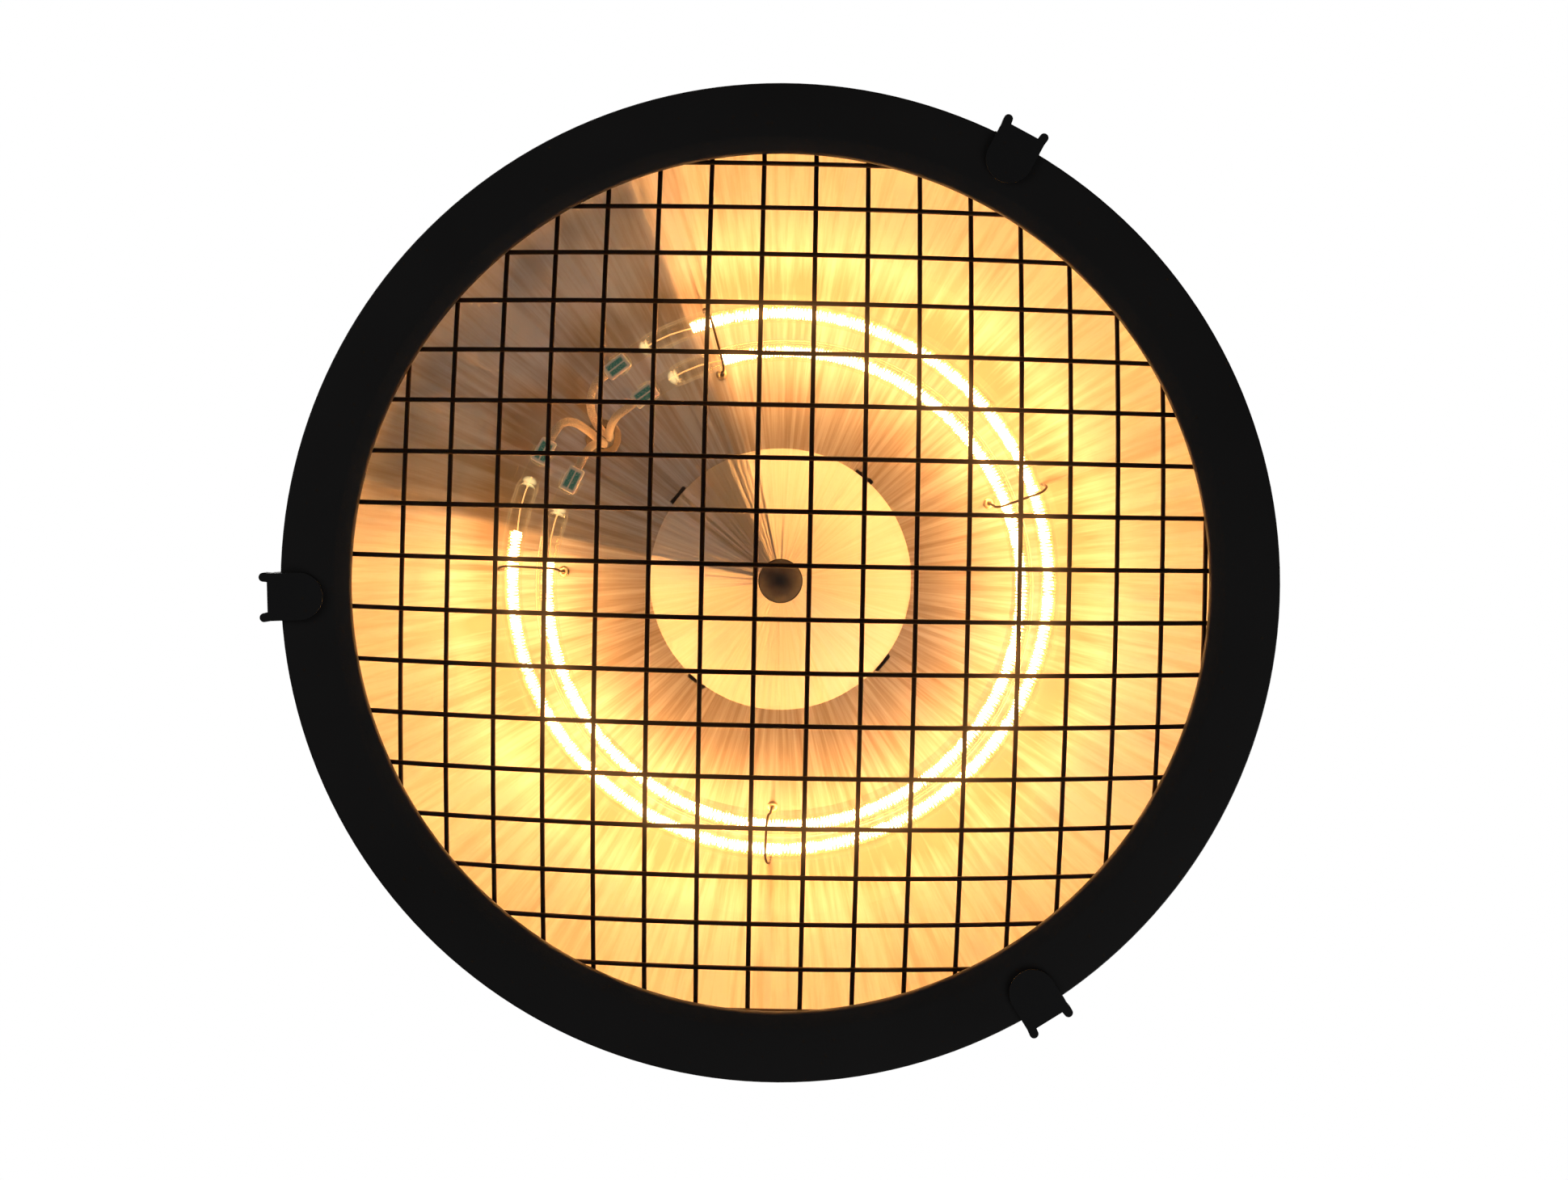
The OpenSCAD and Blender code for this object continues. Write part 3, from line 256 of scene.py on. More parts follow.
# %% A socket that can be calculated with
class Value:
    def __init__(self, tree, socket):
        self.tree = tree
        self.socket = socket

    def node(self, kind, inputs, output=0, **settings):
        """Any node: its settings first, then values or links for its sockets."""
        made = self.tree.nodes.new(kind)
        for name, value in settings.items():
            setattr(made, name, value)
        for key, value in inputs.items():
            connect(self.tree, value, made.inputs[key])
        return Value(self.tree, made.outputs[output])

    def math(self, operation, *others):
        return self.node("ShaderNodeMath", dict(enumerate((self,) + others)), operation=operation)

    def vector(self, operation, *others, output=0):
        return self.node("ShaderNodeVectorMath", dict(enumerate((self,) + others)), output,
                         operation=operation)

    def __add__(self, other):
        return self.math("ADD", other)

    def __radd__(self, other):
        return self.math("ADD", other)

    def __sub__(self, other):
        return self.math("SUBTRACT", other)

    def __rsub__(self, other):
        return self.node("ShaderNodeMath", {0: other, 1: self}, operation="SUBTRACT")

    def __mul__(self, other):
        return self.math("MULTIPLY", other)

    def mix(self, low, high):
        """A colour between two, each three numbers or a Value, by this value."""
        return self.node("ShaderNodeMix", {0: self, 6: low, 7: high}, output=2, data_type="RGBA")

    def between(self, low, high):
        """0 at low, 1 at high, even between them and held past both."""
        return self.node("ShaderNodeMapRange", {0: self, 1: low, 2: high})


def connect(tree, value, socket):
    """Links a Value to a socket, or sets a constant; a colour is three numbers and opaque."""
    if isinstance(value, Value):
        tree.links.new(value.socket, socket)
    elif socket.type == "RGBA":
        socket.default_value = (*value, 1.0)
    else:
        socket.default_value = value


# %% [markdown]
# Every finish starts from the same two things: the place on the piece, and a Principled shader.

# %% Starting a material
def material(name):
    """A new material, the Value of its Object coordinates, and its Principled node."""
    made = bpy.data.materials.new(name)
    made.use_nodes = True
    tree = made.node_tree
    place = tree.nodes.new("ShaderNodeTexCoord")
    return made, Value(tree, place.outputs["Object"]), tree.nodes["Principled BSDF"]


def noise(place, scale, detail, roughness=0.5, stretch=None):
    """A noise pattern, its scale in waves per metre, if need be stretched along an axis."""
    if stretch:
        place = place.node("ShaderNodeMapping", {"Vector": place, "Scale": stretch})
    return place.node("ShaderNodeTexNoise", {"Vector": place, "Scale": scale, "Detail": detail,
                                             "Roughness": roughness})


def bumped(shader, relief, depth):
    """Feeds a pattern to the shader's Normal as relief of this depth in metres."""
    normal = relief.node("ShaderNodeBump", {"Height": relief, "Distance": depth})
    connect(relief.tree, normal, shader.inputs["Normal"])


def painted(shader, values):
    """Sets or links several of a shader's sockets."""
    tree = shader.id_data
    for key, value in values.items():
        connect(tree, value, shader.inputs[key])


# %% [markdown]
# ## Finishes
# The rim, the shade and the housing wear a black powder coat: almost no colour, a satin shine,
# and the faint pebbling that the powder leaves when it melts. A fine noise makes the pebbles, a
# broad one the uneven shine, and a third, drawn out upwards, the scuffs of handling.

# %% Powder coat
def powder_coat(name, tone, pebble, roughness):
    """Coat of one dark tone, with pebbles of this height in metres."""
    made, place, shader = material(name)
    pebbles = noise(place, 1400, 3, 0.6)
    cloud = noise(place, 18, 3)
    scuffs = noise(place, 90, 6, 0.75, stretch=(1, 1, 0.25)).between(0.55, 0.75)
    painted(shader, {
        "Base Color": cloud.mix([part * 0.8 for part in tone], [part * 1.25 for part in tone]),
        "Roughness": roughness + (cloud - 0.5) * 0.18 + scuffs * 0.08,
        "Specular IOR Level": 0.35,
    })
    bumped(shader, pebbles, pebble)
    return made


POWDER = powder_coat("black powder coat", (0.056, 0.057, 0.058), 0.00006, 0.55)
LATCH = powder_coat("black latch coat", (0.050, 0.053, 0.056), 0.00004, 0.5)

# %% [markdown]
# The guard's wires are steel that the lamps have browned, more so over the lamps and inside them
# than out by the ring. The heat leaves the brown mottled, and grime makes the shine uneven.

# %% Guard wire
def guard_wire_finish():
    made, place, shader = material("browned guard wire")
    mottle = noise(place, 260, 4, 0.65)
    grime = noise(place, 35, 3)
    radius = place.vector("MULTIPLY", (1.0, 1.0, 0.0)).vector("LENGTH", output=1)
    over_lamps = 1 - radius.between(0.1, 0.17)
    steel = mottle.mix((0.022, 0.014, 0.010), (0.045, 0.026, 0.016))
    painted(shader, {
        "Base Color": (over_lamps * 0.7).mix(steel, (0.03, 0.012, 0.006)),
        "Metallic": 0.55,
        "Roughness": 0.42 + grime * 0.16,
    })
    bumped(shader, mottle, 0.00003)
    return made


GUARD = guard_wire_finish()

# %% [markdown]
# The reflector is spun and polished aluminium. A spinning tool leaves rings round the axis, so a
# lamp's reflection is drawn out across them, towards the rim and the middle. The Principled
# shader's Anisotropic value draws it out along the rings, and a quarter turn of Anisotropic
# Rotation brings it across. Radial streaks are painted into the base colour as painted reflection
# of the coils drawn out across the rings: noise read in polar coordinates, turn round the axis and
# radius. The base colour is also darker in a band by the lamps and lighter past them. The relief
# also leans the surface a little, more with the radius, since a spun sheet isn't an exact
# parabola: this decides how bright each zone looks from below.

# %% Polished spun sheet
def polar_place(place):
    """The angle round the axis, as a point on a circle, and the radius in metres."""
    flat = place.vector("MULTIPLY", (1.0, 1.0, 0.0))
    return flat.vector("NORMALIZE"), flat.vector("LENGTH", output=1)


def streaked(around, radius, fineness, drift, detail):
    """Noise that is fine round the axis and changes only slowly along the radius."""
    depth = radius.node("ShaderNodeCombineXYZ", {2: radius * drift})
    return noise(around.vector("ADD", depth), fineness, detail, 0.6)


def spun_sheet(name, dark, bright, roughness, slopes):
    """Polished sheet; past each radius in mm in the list, its surface leans by that slope more."""
    made, place, shader = material(name)
    around, radius = polar_place(place)
    fine = streaked(around, radius, 38, 0.5, 4)
    broad = streaked(around, radius, 6, 0.9, 2)
    rings = noise(radius.node("ShaderNodeCombineXYZ", {0: radius}), 1500, 3)
    cloud = noise(place, 14, 3)
    reflection_streaks = fine.between(0.38, 0.64)
    by_the_lamps = radius.between(0.112, 0.120) * (1 - radius.between(0.128, 0.142))
    past_the_lamps = radius.between(0.132, 0.150)
    # The base colour carries painted reflection: it is lighter along the radial streaks, as the
    # coils' drawn-out reflections are, and also darker in a band by the lamps and lighter past them.
    sheet_lightness = (reflection_streaks * 0.6 + broad.between(0.3, 0.7) * 0.35 + past_the_lamps * 0.35
             - by_the_lamps * 0.4)
    painted(shader, {
        "Base Color": sheet_lightness.mix(dark, bright),
        "Metallic": 0.83,
        "Roughness": (roughness + (reflection_streaks - 0.5) * 0.05 + (cloud - 0.5) * 0.06
                      + (rings - 0.5) * 0.04),
        "Anisotropic": 1.0,
        "Anisotropic Rotation": 0.25,
    })
    relief = rings * 0.00001 + fine * 0.00008 + broad * 0.0012
    for start, slope in slopes:
        relief = relief + (radius - start * MM).math("MAXIMUM", 0.0) * slope
    bumped(shader, relief, 1.0)
    return made


MIRROR = spun_sheet("polished spun sheet", (0.62, 0.51, 0.38), (1.0, 0.99, 0.94), 0.37,
                    [(0, 0.05), (101, 0.20), (124, 0.10), (145, 0.08)])
CONE = spun_sheet("satin cone sheet", (0.90, 0.84, 0.74), (1.0, 0.98, 0.93), 0.36,
                  [(0, -0.27)])

# %% [markdown]
# The lamps are quartz tubes. Thin glass hardly bends the light, so it is drawn as a see-through
# surface that shines mostly where it turns away from the eye, which shows as the tube's two fine
# outlines. Light from the coil also runs along inside the wall, and comes out at the outlines and
# at the tube's round ends.

# %% Quartz
def quartz_finish(name, edge_glow, ends=()):
    """Clear quartz; light that has run along a tube shows at its edges and at its round ends."""
    made, place, shader = material(name)
    tree = place.tree
    tree.nodes.remove(shader)
    facing = place.node("ShaderNodeLayerWeight", {"Blend": 0.22}, output=1)
    haze = noise(place, 120, 4).between(0.4, 0.8)
    clear = place.node("ShaderNodeBsdfTransparent", {"Color": (0.99, 0.975, 0.94)})
    shine = place.node("ShaderNodeBsdfGlossy", {"Color": (1.0, 0.97, 0.92), "Roughness": 0.05})
    edge = facing * facing * 0.75 + 0.02
    skin = edge.node("ShaderNodeMixShader", {0: edge, 1: clear, 2: shine})
    light = place.node("ShaderNodeEmission", {"Color": (1.0, 0.70, 0.30), "Strength": 1.6})
    glowing = facing * facing * edge_glow + haze * 0.004
    for end in ends:
        away = place.vector("DISTANCE", tuple(end), output=1)
        glowing = glowing + away.between(0.0036, 0.0022) * 0.42
    both = glowing.node("ShaderNodeMixShader", {0: glowing, 1: skin, 2: light})
    tree.links.new(both.socket, tree.nodes["Material Output"].inputs["Surface"])
    return made


SEAL_QUARTZ = quartz_finish("clear quartz", 1.1)

# %% [markdown]
# The coils give nearly all the light in the dish. They are white-hot, a little uneven along their
# length, and far brighter than the picture can hold. The lead-in wires only glow dully.

# %% Glowing wire
def glowing_finish(name, strength):
    """Wire that shines by its own heat, with this strength."""
    made, place, shader = material(name)
    heat = noise(place, 300, 2).between(0.3, 0.7)
    painted(shader, {
        "Base Color": (0.2, 0.12, 0.06),
        "Roughness": 0.6,
        "Emission Color": heat.mix((0.92, 0.40, 0.125), (0.92, 0.46, 0.165)),
        "Emission Strength": strength,
    })
    return made


GLOW = glowing_finish("white-hot coil", 40.0)
WARM_WIRE = glowing_finish("warm lead-in wire", 1.6)

# %% [markdown]
# The other metals are simpler: the nose cap's dull coat, zinc on bolts and pins, rolled sheet for
# the heat shield, blackened screws, heat-browned hooks and their warm eyelets, and brass screws in
# the terminal block. One function makes them all, from two tones and a shine.

# %% Plain metals
def metal(name, low, high, metallic, roughness, stretch=None):
    """Metal with a mottled tone, an uneven shine and a fine relief."""
    made, place, shader = material(name)
    mottle = noise(place, 220, 4, 0.6, stretch)
    cloud = noise(place, 30, 3)
    tone = (mottle * 0.6 + cloud * 0.4).between(0.35, 0.65)
    painted(shader, {
        "Base Color": tone.mix(low, high),
        "Metallic": metallic,
        "Roughness": roughness + (cloud - 0.5) * 0.16 + (mottle - 0.5) * 0.08,
    })
    bumped(shader, mottle, 0.00002)
    return made


# The nose cap's dark tone is partly painted reflection, standing for the dark spot at the cone's
# middle.
NOSE = metal("dull heat-proof coat", (0.085, 0.080, 0.080), (0.13, 0.125, 0.125), 0.0, 0.72)
ZINC = metal("bright zinc plating", (0.42, 0.42, 0.40), (0.66, 0.66, 0.64), 1.0, 0.32)
SHIELD = metal("rolled aluminium", (0.60, 0.60, 0.59), (0.78, 0.78, 0.77), 1.0, 0.38,
               stretch=(1, 0.05, 1))
BLACK_STEEL = metal("blackened screws", (0.012, 0.012, 0.012), (0.028, 0.027, 0.026), 0.6, 0.45)
HOT_WIRE = metal("heat-browned hooks", (0.040, 0.020, 0.012), (0.10, 0.052, 0.028), 0.7, 0.5)
EYELET = metal("warm eyelet", (0.70, 0.55, 0.34), (0.88, 0.74, 0.52), 1.0, 0.3)
BRASS = metal("terminal brass", (0.52, 0.36, 0.13), (0.74, 0.55, 0.24), 1.0, 0.28)

# %% [markdown]
# The leads wear a woven glass sleeve: two sets of threads that cross, one over and one under. The
# hose's own UV counts the turns round it and the way along it, and two slanting waves of them make
# the threads. Some threads are darker, and the sleeve is a little shiny on top of them. The lamps'
# light comes through the thin weave, which a faint glow of its own stands for.

# %% Woven sleeve
def woven_sleeve():
    made, place, shader = material("woven glass sleeve")
    tree = place.tree
    own = tree.nodes.new("ShaderNodeUVMap")
    uv = Value(tree, own.outputs["UV"])
    parts = tree.nodes.new("ShaderNodeSeparateXYZ")
    connect(tree, uv, parts.inputs[0])
    along, round_it = Value(tree, parts.outputs[0]), Value(tree, parts.outputs[1])
    run, turn = along * 1070.0, round_it * 50.3
    left = (run + turn).math("SINE")
    right = (run - turn).math("SINE")
    over = (along * 535.0).math("SINE").between(-0.2, 0.2)
    threads = left * over + right * (1 - over)
    dust = noise(place, 160, 4, 0.6)
    shade = (threads * 0.25 + dust * 0.9).between(0.2, 0.8)
    painted(shader, {
        "Base Color": shade.mix((0.74, 0.54, 0.32), (0.95, 0.82, 0.60)),
        "Roughness": 0.62 - threads * 0.12,
        "Specular IOR Level": 0.4,
        "Emission Color": shade.mix((0.8, 0.45, 0.2), (1.0, 0.62, 0.3)),
        "Emission Strength": 0.12,
    })
    bumped(shader, threads + dust, 0.00012)
    return made


SLEEVE = woven_sleeve()

# %% [markdown]
# The caps are pressed white ceramic, thin enough to let some light through, which a faint painted
# glow stands for, with a patch of green ink on the side that faces down: two rows of smudged marks
# that spell nothing. The patch is found by measuring each point's place from a cap's middle, along
# the cap and across it.

# %% Cap ceramic with its ink patch
def cap_finish(name, middles, ways):
    """White ceramic with ink under each cap, given the caps' middles and the ways along them."""
    made, place, shader = material(name)
    ink = None
    for middle, way in zip(middles, ways):
        off = place.vector("SUBTRACT", tuple(middle))
        run = off.vector("DOT_PRODUCT", tuple(way), output=1).math("ABSOLUTE")
        aside = off.vector("DOT_PRODUCT", (-way.y, way.x, 0), output=1).math("ABSOLUTE")
        level = off.vector("DOT_PRODUCT", (0, 0, -1), output=1)
        rows = aside.between(0.00015, 0.0005) * (1 - aside.between(0.0021, 0.0027))
        ends = 1 - run.between(0.0036, 0.0043)
        under = level.between(0.0024, 0.0028)
        patch = rows * ends * under
        ink = patch if ink is None else ink + patch
    marks = noise(place, 1500, 4, 0.7).between(0.34, 0.5)
    ink = ink * (0.45 + marks * 0.5)
    cloud = noise(place, 300, 3)
    pale = cloud.mix((0.78, 0.66, 0.50), (0.90, 0.80, 0.66))
    painted(shader, {
        "Base Color": ink.mix(pale, (0.03, 0.24, 0.16)),
        # Painted glow: a faint emission, green on the ink, stands for the lamps' light coming through
        # the ceramic.
        "Emission Color": ink.mix((1.0, 0.68, 0.38), (0.05, 0.30, 0.20)),
        "Emission Strength": 0.16,
        "Roughness": 0.38 + cloud * 0.2,
        "Subsurface Weight": 0.25,
        "Subsurface Scale": 0.002,
    })
    bumped(shader, cloud, 0.00003)
    return made


# %% [markdown]
# Rubber, terminal ceramic, and the moulded plastics of the gland and the cut-out are matt and
# near to one colour, with a fine grain. Again one function makes them all.

# %% Moulded materials
def moulded(name, low, high, roughness, grain, relief, specular=0.4):
    """A matt material between two tones; its grain in waves per metre, its relief in metres."""
    made, place, shader = material(name)
    fine = noise(place, grain, 4, 0.6)
    cloud = noise(place, 40, 3)
    tone = (cloud * 0.6 + fine * 0.4).between(0.35, 0.65)
    painted(shader, {
        "Base Color": tone.mix(low, high),
        "Roughness": roughness + (fine - 0.5) * 0.15,
        "Specular IOR Level": specular,
    })
    bumped(shader, fine, relief)
    return made


RUBBER = moulded("pale silicone rubber", (0.34, 0.27, 0.20), (0.46, 0.38, 0.29), 0.36, 700, 0.00002)
BLOCK = moulded("terminal ceramic", (0.68, 0.64, 0.56), (0.82, 0.79, 0.71), 0.55, 900, 0.00005)
CUTOUT = moulded("brown moulding", (0.075, 0.040, 0.022), (0.11, 0.062, 0.036), 0.48, 1100, 0.00003)
PLASTIC = moulded("black gland plastic", (0.012, 0.012, 0.012), (0.024, 0.024, 0.023), 0.5, 1300,
                  0.00005)

# %% [markdown]
# ## The guard ring
# The ring is pressed from one strip of sheet: a flat face, an inner lip that slopes gently to the
# mouth and turns up there, so that it catches little of the lamps' light, and an upturned outer
# flange. Pressing leaves a round at every fold. So the outline follows the sheet on both sides,
# with arcs at the folds and a half round at each cut edge.

# %% Guard ring
OPEN_R = RING_R - 29.5
LIP_TURN = (OPEN_R + 1.6, 2.95)
ring_outline = (
    arc((RING_R - 1, 1), 1, 360, 270, 6)
    + [(RING_R - 11, 0), (OPEN_R + 8.2, 0), (OPEN_R + 7.3, 0.05), (OPEN_R + 6.4, 0.2)]
    + arc(LIP_TURN, 1.6, 257, 180, 7)
    + arc((OPEN_R + 0.6, 4.2), 0.6, 180, 0, 8)
    + arc(LIP_TURN, 0.4, 180, 257, 4)
    + [(OPEN_R + 6.5, 1.41), (OPEN_R + 7.4, 1.25), (OPEN_R + 8.3, 1.2)]
    + arc((RING_R - 1.8, 1.8), 0.6, 270, 360, 4)
    + arc((RING_R - 0.6, 8.4), 0.6, 180, 0, 8)
)
guard_ring = spun("guard_ring_pressed", ring_outline)
piece(guard_ring, POWDER, "powder_coat", "heater", "guard_ring")

# %% [markdown]
# ## The guard
# The grille is welded from straight lengths of drawn wire, pressed into a dome together with the
# heavier hoop that their ends are welded to. Each wire lies in an upright plane, so it is an arc
# of a circle: a small circle is spun about that arc's centre. One layer lies inside the other,
# and where they cross the welds sink them slightly into each other.

# %% One wire of the guard
WIRE_R = 1.0
DOME_R = 358.0
HOOP_WIRE_R = 2.0
WIRE_PITCH = 22.0
MESH_TURN = 2.75
LAYER_STEP = 0.9
DOME_LEVEL = HOOP_LEVEL + math.sqrt(DOME_R ** 2 - HOOP_R ** 2)


def wire_places(count, shift):
    """The distances of the wires' planes from the axis, evenly spread along the dome."""
    turns = [((i - (count - 1) / 2) * WIRE_PITCH + shift) / DOME_R for i in range(count)]
    places = [DOME_R * math.sin(turn) for turn in turns]
    return [p for p in places if abs(p) < HOOP_R - HOOP_WIRE_R - WIRE_R + 0.4]


def bent_wire(place, layer_r):
    """One wire of the dome, in the upright plane at this distance from the axis."""
    arc_r = math.sqrt(layer_r ** 2 - place ** 2)
    reach = math.sqrt((HOOP_R - HOOP_WIRE_R / 2) ** 2 - place ** 2)
    half = math.asin(reach / arc_r)
    start = (-arc_r * math.sin(half) * MM, place * MM, height(DOME_LEVEL - arc_r * math.cos(half)))
    nothing_selected()
    bpy.ops.mesh.primitive_circle_add(vertices=10, radius=WIRE_R * MM, fill_type="NGON",
                                      location=start, rotation=(0, math.pi / 2 + half, 0))
    wire = bpy.context.object
    bpy.ops.object.transform_apply(location=True, rotation=True)
    edit_all()
    bpy.ops.mesh.spin(steps=max(8, int(26 * half / 0.52)), angle=2 * half,
                      center=(0, place * MM, height(DOME_LEVEL)), axis=(0, 1, 0))
    bpy.ops.object.mode_set(mode="OBJECT")
    return wire


def wire_layer(name, places, layer_r, turn):
    """All the wires of one layer, turned about the axis by this many degrees."""
    layer = joined(*[bent_wire(place, layer_r) for place in places])
    layer.rotation_euler.z = math.radians(turn)
    return settled(layer, name, 50)


# %% [markdown]
# The 18 wires across make the outer layer and the 17 wires down the inner one. Neither set is
# centred: the shifts and the turn of the whole mesh come from the photograph. The hoop is a torus,
# the plainest form for a closed ring of round wire.

# %% Both layers of wires, and the hoop
across = wire_layer("guard_wires_across_bent", wire_places(18, 2.6), DOME_R + LAYER_STEP, MESH_TURN)
piece(across, GUARD, "guard_wire", "heater", "guard_wires_across")
down = wire_layer("guard_wires_down_bent", wire_places(17, 11.7), DOME_R - LAYER_STEP, MESH_TURN - 90)
piece(down, GUARD, "guard_wire", "heater", "guard_wires_down")
nothing_selected()
bpy.ops.mesh.primitive_torus_add(major_radius=HOOP_R * MM, minor_radius=HOOP_WIRE_R * MM,
                                 major_segments=192, minor_segments=16,
                                 location=(0, 0, height(HOOP_LEVEL)))
hoop = settled(bpy.context.object, "guard_hoop_bent", 50)
piece(hoop, GUARD, "guard_wire", "heater", "guard_hoop")

# %% [markdown]
# ## The shade
# The shade is spun from steel sheet: a flat top, one arc down to the foot, a narrow step, and a
# skirt that stands inside the guard ring. The step's outer corner is rounded, as a spinning
# roller leaves it. The hole where the leads pass is cut afterwards with a boolean.

# %% Shade
SKIRT_R = RING_R - 1.7
FOOT_R = SKIRT_R - 10
TOP_R, TOP_Z, FOOT_Z = 75.0, 92.0, 16.0
SHADE_SHEET = 1.0
shade_run = FOOT_R - TOP_R
shade_rise = TOP_Z - FOOT_Z - SHADE_SHEET
shade_arc = (shade_run ** 2 + shade_rise ** 2) / (2 * shade_rise)
shade_centre = (TOP_R, TOP_Z - shade_arc)
foot_turn = math.degrees(math.acos(shade_run / shade_arc))
# The leads leave the dish at EYE_R and pass the shade at SHADE_HOLE, both in this direction, and
# the shade's hole has the radius of its bushing's groove
LEAD_AZ = math.radians(220.2)
EYE_R, SHADE_HOLE, BUSH_R = 98.7, 36.0, 8.5


def cut_hole(obj, radius, place, depth):
    """Cuts a round hole with an upright cylinder; the place is in metres, the rest in mm."""
    nothing_selected()
    bpy.ops.mesh.primitive_cylinder_add(vertices=48, radius=radius * MM, depth=depth * MM,
                                        location=place)
    return cut_by(obj, bpy.context.object)


shade_outline = (
    [(0, TOP_Z), (TOP_R * 0.6, TOP_Z)]
    + arc(shade_centre, shade_arc, 90, foot_turn, 40)
    + arc((SKIRT_R - 1, FOOT_Z), 1, 90, 0, 5)
    + arc((SKIRT_R - 0.5, 1.7), 0.5, 0, -180, 6)
    + [(SKIRT_R - 1, FOOT_Z), (FOOT_R - 0.6, FOOT_Z)]
    + arc(shade_centre, shade_arc - SHADE_SHEET, foot_turn - 0.25, 90, 40)
    + [(TOP_R * 0.6, TOP_Z - SHADE_SHEET), (0, TOP_Z - SHADE_SHEET)]
)
shade = spun("shade_spun", shade_outline)
cut_hole(shade, BUSH_R, polar(SHADE_HOLE * MM, LEAD_AZ, height(TOP_Z - SHADE_SHEET / 2)), 4)
bpy.ops.object.shade_smooth_by_angle(angle=math.radians(35))
piece(shade, POWDER, "powder_coat", "heater", "shade")

# %% [markdown]
# ## The reflector
# The reflector is spun from bright aluminium over a form. Its middle is flat, its wall follows a
# parabola down to the rim, and a flange lies under the shade's foot. Round and slotted holes are
# cut for the stud, the leads' eyelet and the four tabs of the cone.

# %% Reflector
MIRROR_SHEET = 0.8
MIRROR_FLAT_R, MIRROR_FLAT_Z = 95.0, 53.0
MIRROR_RIM_R, MIRROR_RIM_Z = OPEN_R + 3.5, FOOT_Z - MIRROR_SHEET
WALL_RUN = MIRROR_RIM_R - MIRROR_FLAT_R
WALL_STEPS = 44


def mirror_height(radius):
    """The height of the reflector's bright side at a radius, both in mm."""
    share = max(0.0, (radius - MIRROR_FLAT_R) / WALL_RUN)
    return MIRROR_FLAT_Z - (MIRROR_FLAT_Z - MIRROR_RIM_Z) * share ** 2


wall = [MIRROR_FLAT_R + WALL_RUN * i / WALL_STEPS for i in range(WALL_STEPS + 1)]
mirror_back = MIRROR_FLAT_Z + MIRROR_SHEET
reflector_outline = (
    [(r, MIRROR_FLAT_Z) for r in (0, 40, 70)]
    + [(r, mirror_height(r)) for r in wall]
    + [(MIRROR_RIM_R + 12, MIRROR_RIM_Z), (SKIRT_R - 2.5, MIRROR_RIM_Z), (SKIRT_R - 2.5, FOOT_Z)]
    + [(r + 0.3, mirror_height(r) + MIRROR_SHEET) for r in reversed(wall)]
    + [(r, mirror_back) for r in (70, 40, 0)]
)
reflector = spun("reflector_spun", reflector_outline, 192, 40)

# %% [markdown]
# Each cutter is set at the middle of the flat sheet's thickness, so that it stands out on both
# sides. The slots are wider than the solids', so that a dark line can show beside a tab.

# %% Holes and slots in the reflector
MIRROR_MIDDLE = height(MIRROR_FLAT_Z + MIRROR_SHEET / 2)
LEAD_EYE = polar(EYE_R * MM, LEAD_AZ, MIRROR_MIDDLE)
cut_hole(reflector, 2.7, (0, 0, MIRROR_MIDDLE), 4)
cut_hole(reflector, 6.0, LEAD_EYE, 6)
SLOT_AZ = [math.radians(41 + 90 * i) for i in range(4)]
SLOT_R, SLOT_W, SLOT_L = 57.1, 3.0, 9.0
for slot_az in SLOT_AZ:
    place = polar(SLOT_R * MM, slot_az, MIRROR_MIDDLE)
    cut_by(reflector, block_at(place, slot_az, (SLOT_W, SLOT_L, 4)))
bpy.ops.object.shade_smooth_by_angle(angle=math.radians(40))
piece(reflector, MIRROR, "mirror_sheet", "heater", "reflector")

# %% [markdown]
# ## The cone and its cap
# The centre cone is a second spinning that throws the light outwards. Its narrow end is closed
# and carries the stud, its rim has a small rounded edge, and four tabs pass through the
# reflector's slots and are bent flat behind it: each is two thin blocks, one upright, one flat.

# %% Centre cone
CONE_SHEET, CONE_END_Z = 0.8, 25.0
cone_outline = (
    [(2.5, CONE_END_Z), (8.6, CONE_END_Z)]
    + arc((8.6, CONE_END_Z + 1.4), 1.4, -90, -31, 5)
    + [(54.6, 51.7)]
    + arc((56.55, 52.6), 0.45, -60, 90, 6)
    + [(54.5, 53), (9.2, CONE_END_Z + 0.9), (2.5, CONE_END_Z + CONE_SHEET)]
)
cone = spun("centre_cone_spun", cone_outline, 144, 40)
TAB_L = 8.4
# Each block: its middle's radius and height, its width along the radius and its thickness
TAB_BLOCKS = [(56.3, 53.4, CONE_SHEET, 2.4), (53.85, 54.2, 5.7, CONE_SHEET)]
for slot_az in SLOT_AZ:
    for radius, level, width, thick in TAB_BLOCKS:
        place = polar(radius * MM, slot_az, height(level))
        joined(cone, block_at(place, slot_az, (width, TAB_L, thick)))
settled(cone, "centre_cone_spun", 40)
piece(cone, CONE, "cone_sheet", "heater", "centre_cone")

# %% [markdown]
# A dull, dark stamped cap covers the stud at the cone's narrow end: a shallow piece of a sphere
# with a turned-in edge. Its dark tone is partly painted reflection, standing for the dark spot at
# the middle of the bright cone.

# %% Nose cap
NOSE_R, NOSE_RISE = 9.5, 5.0
nose_ball = (NOSE_R ** 2 + NOSE_RISE ** 2) / (2 * NOSE_RISE)
nose_turn = math.degrees(math.asin(NOSE_R / nose_ball))
nose_outline = (
    arc((0, CONE_END_Z - NOSE_RISE + nose_ball), nose_ball, -90, nose_turn - 92.5, 12)
    + arc((NOSE_R - 0.42, CONE_END_Z - 0.44), 0.42, -35, 90, 5)
    + [(0, CONE_END_Z - 0.02)]
)
nose = spun("nose_cap_pressed", nose_outline, 96, 40)
piece(nose, NOSE, "nose_metal", "heater", "nose_cap")

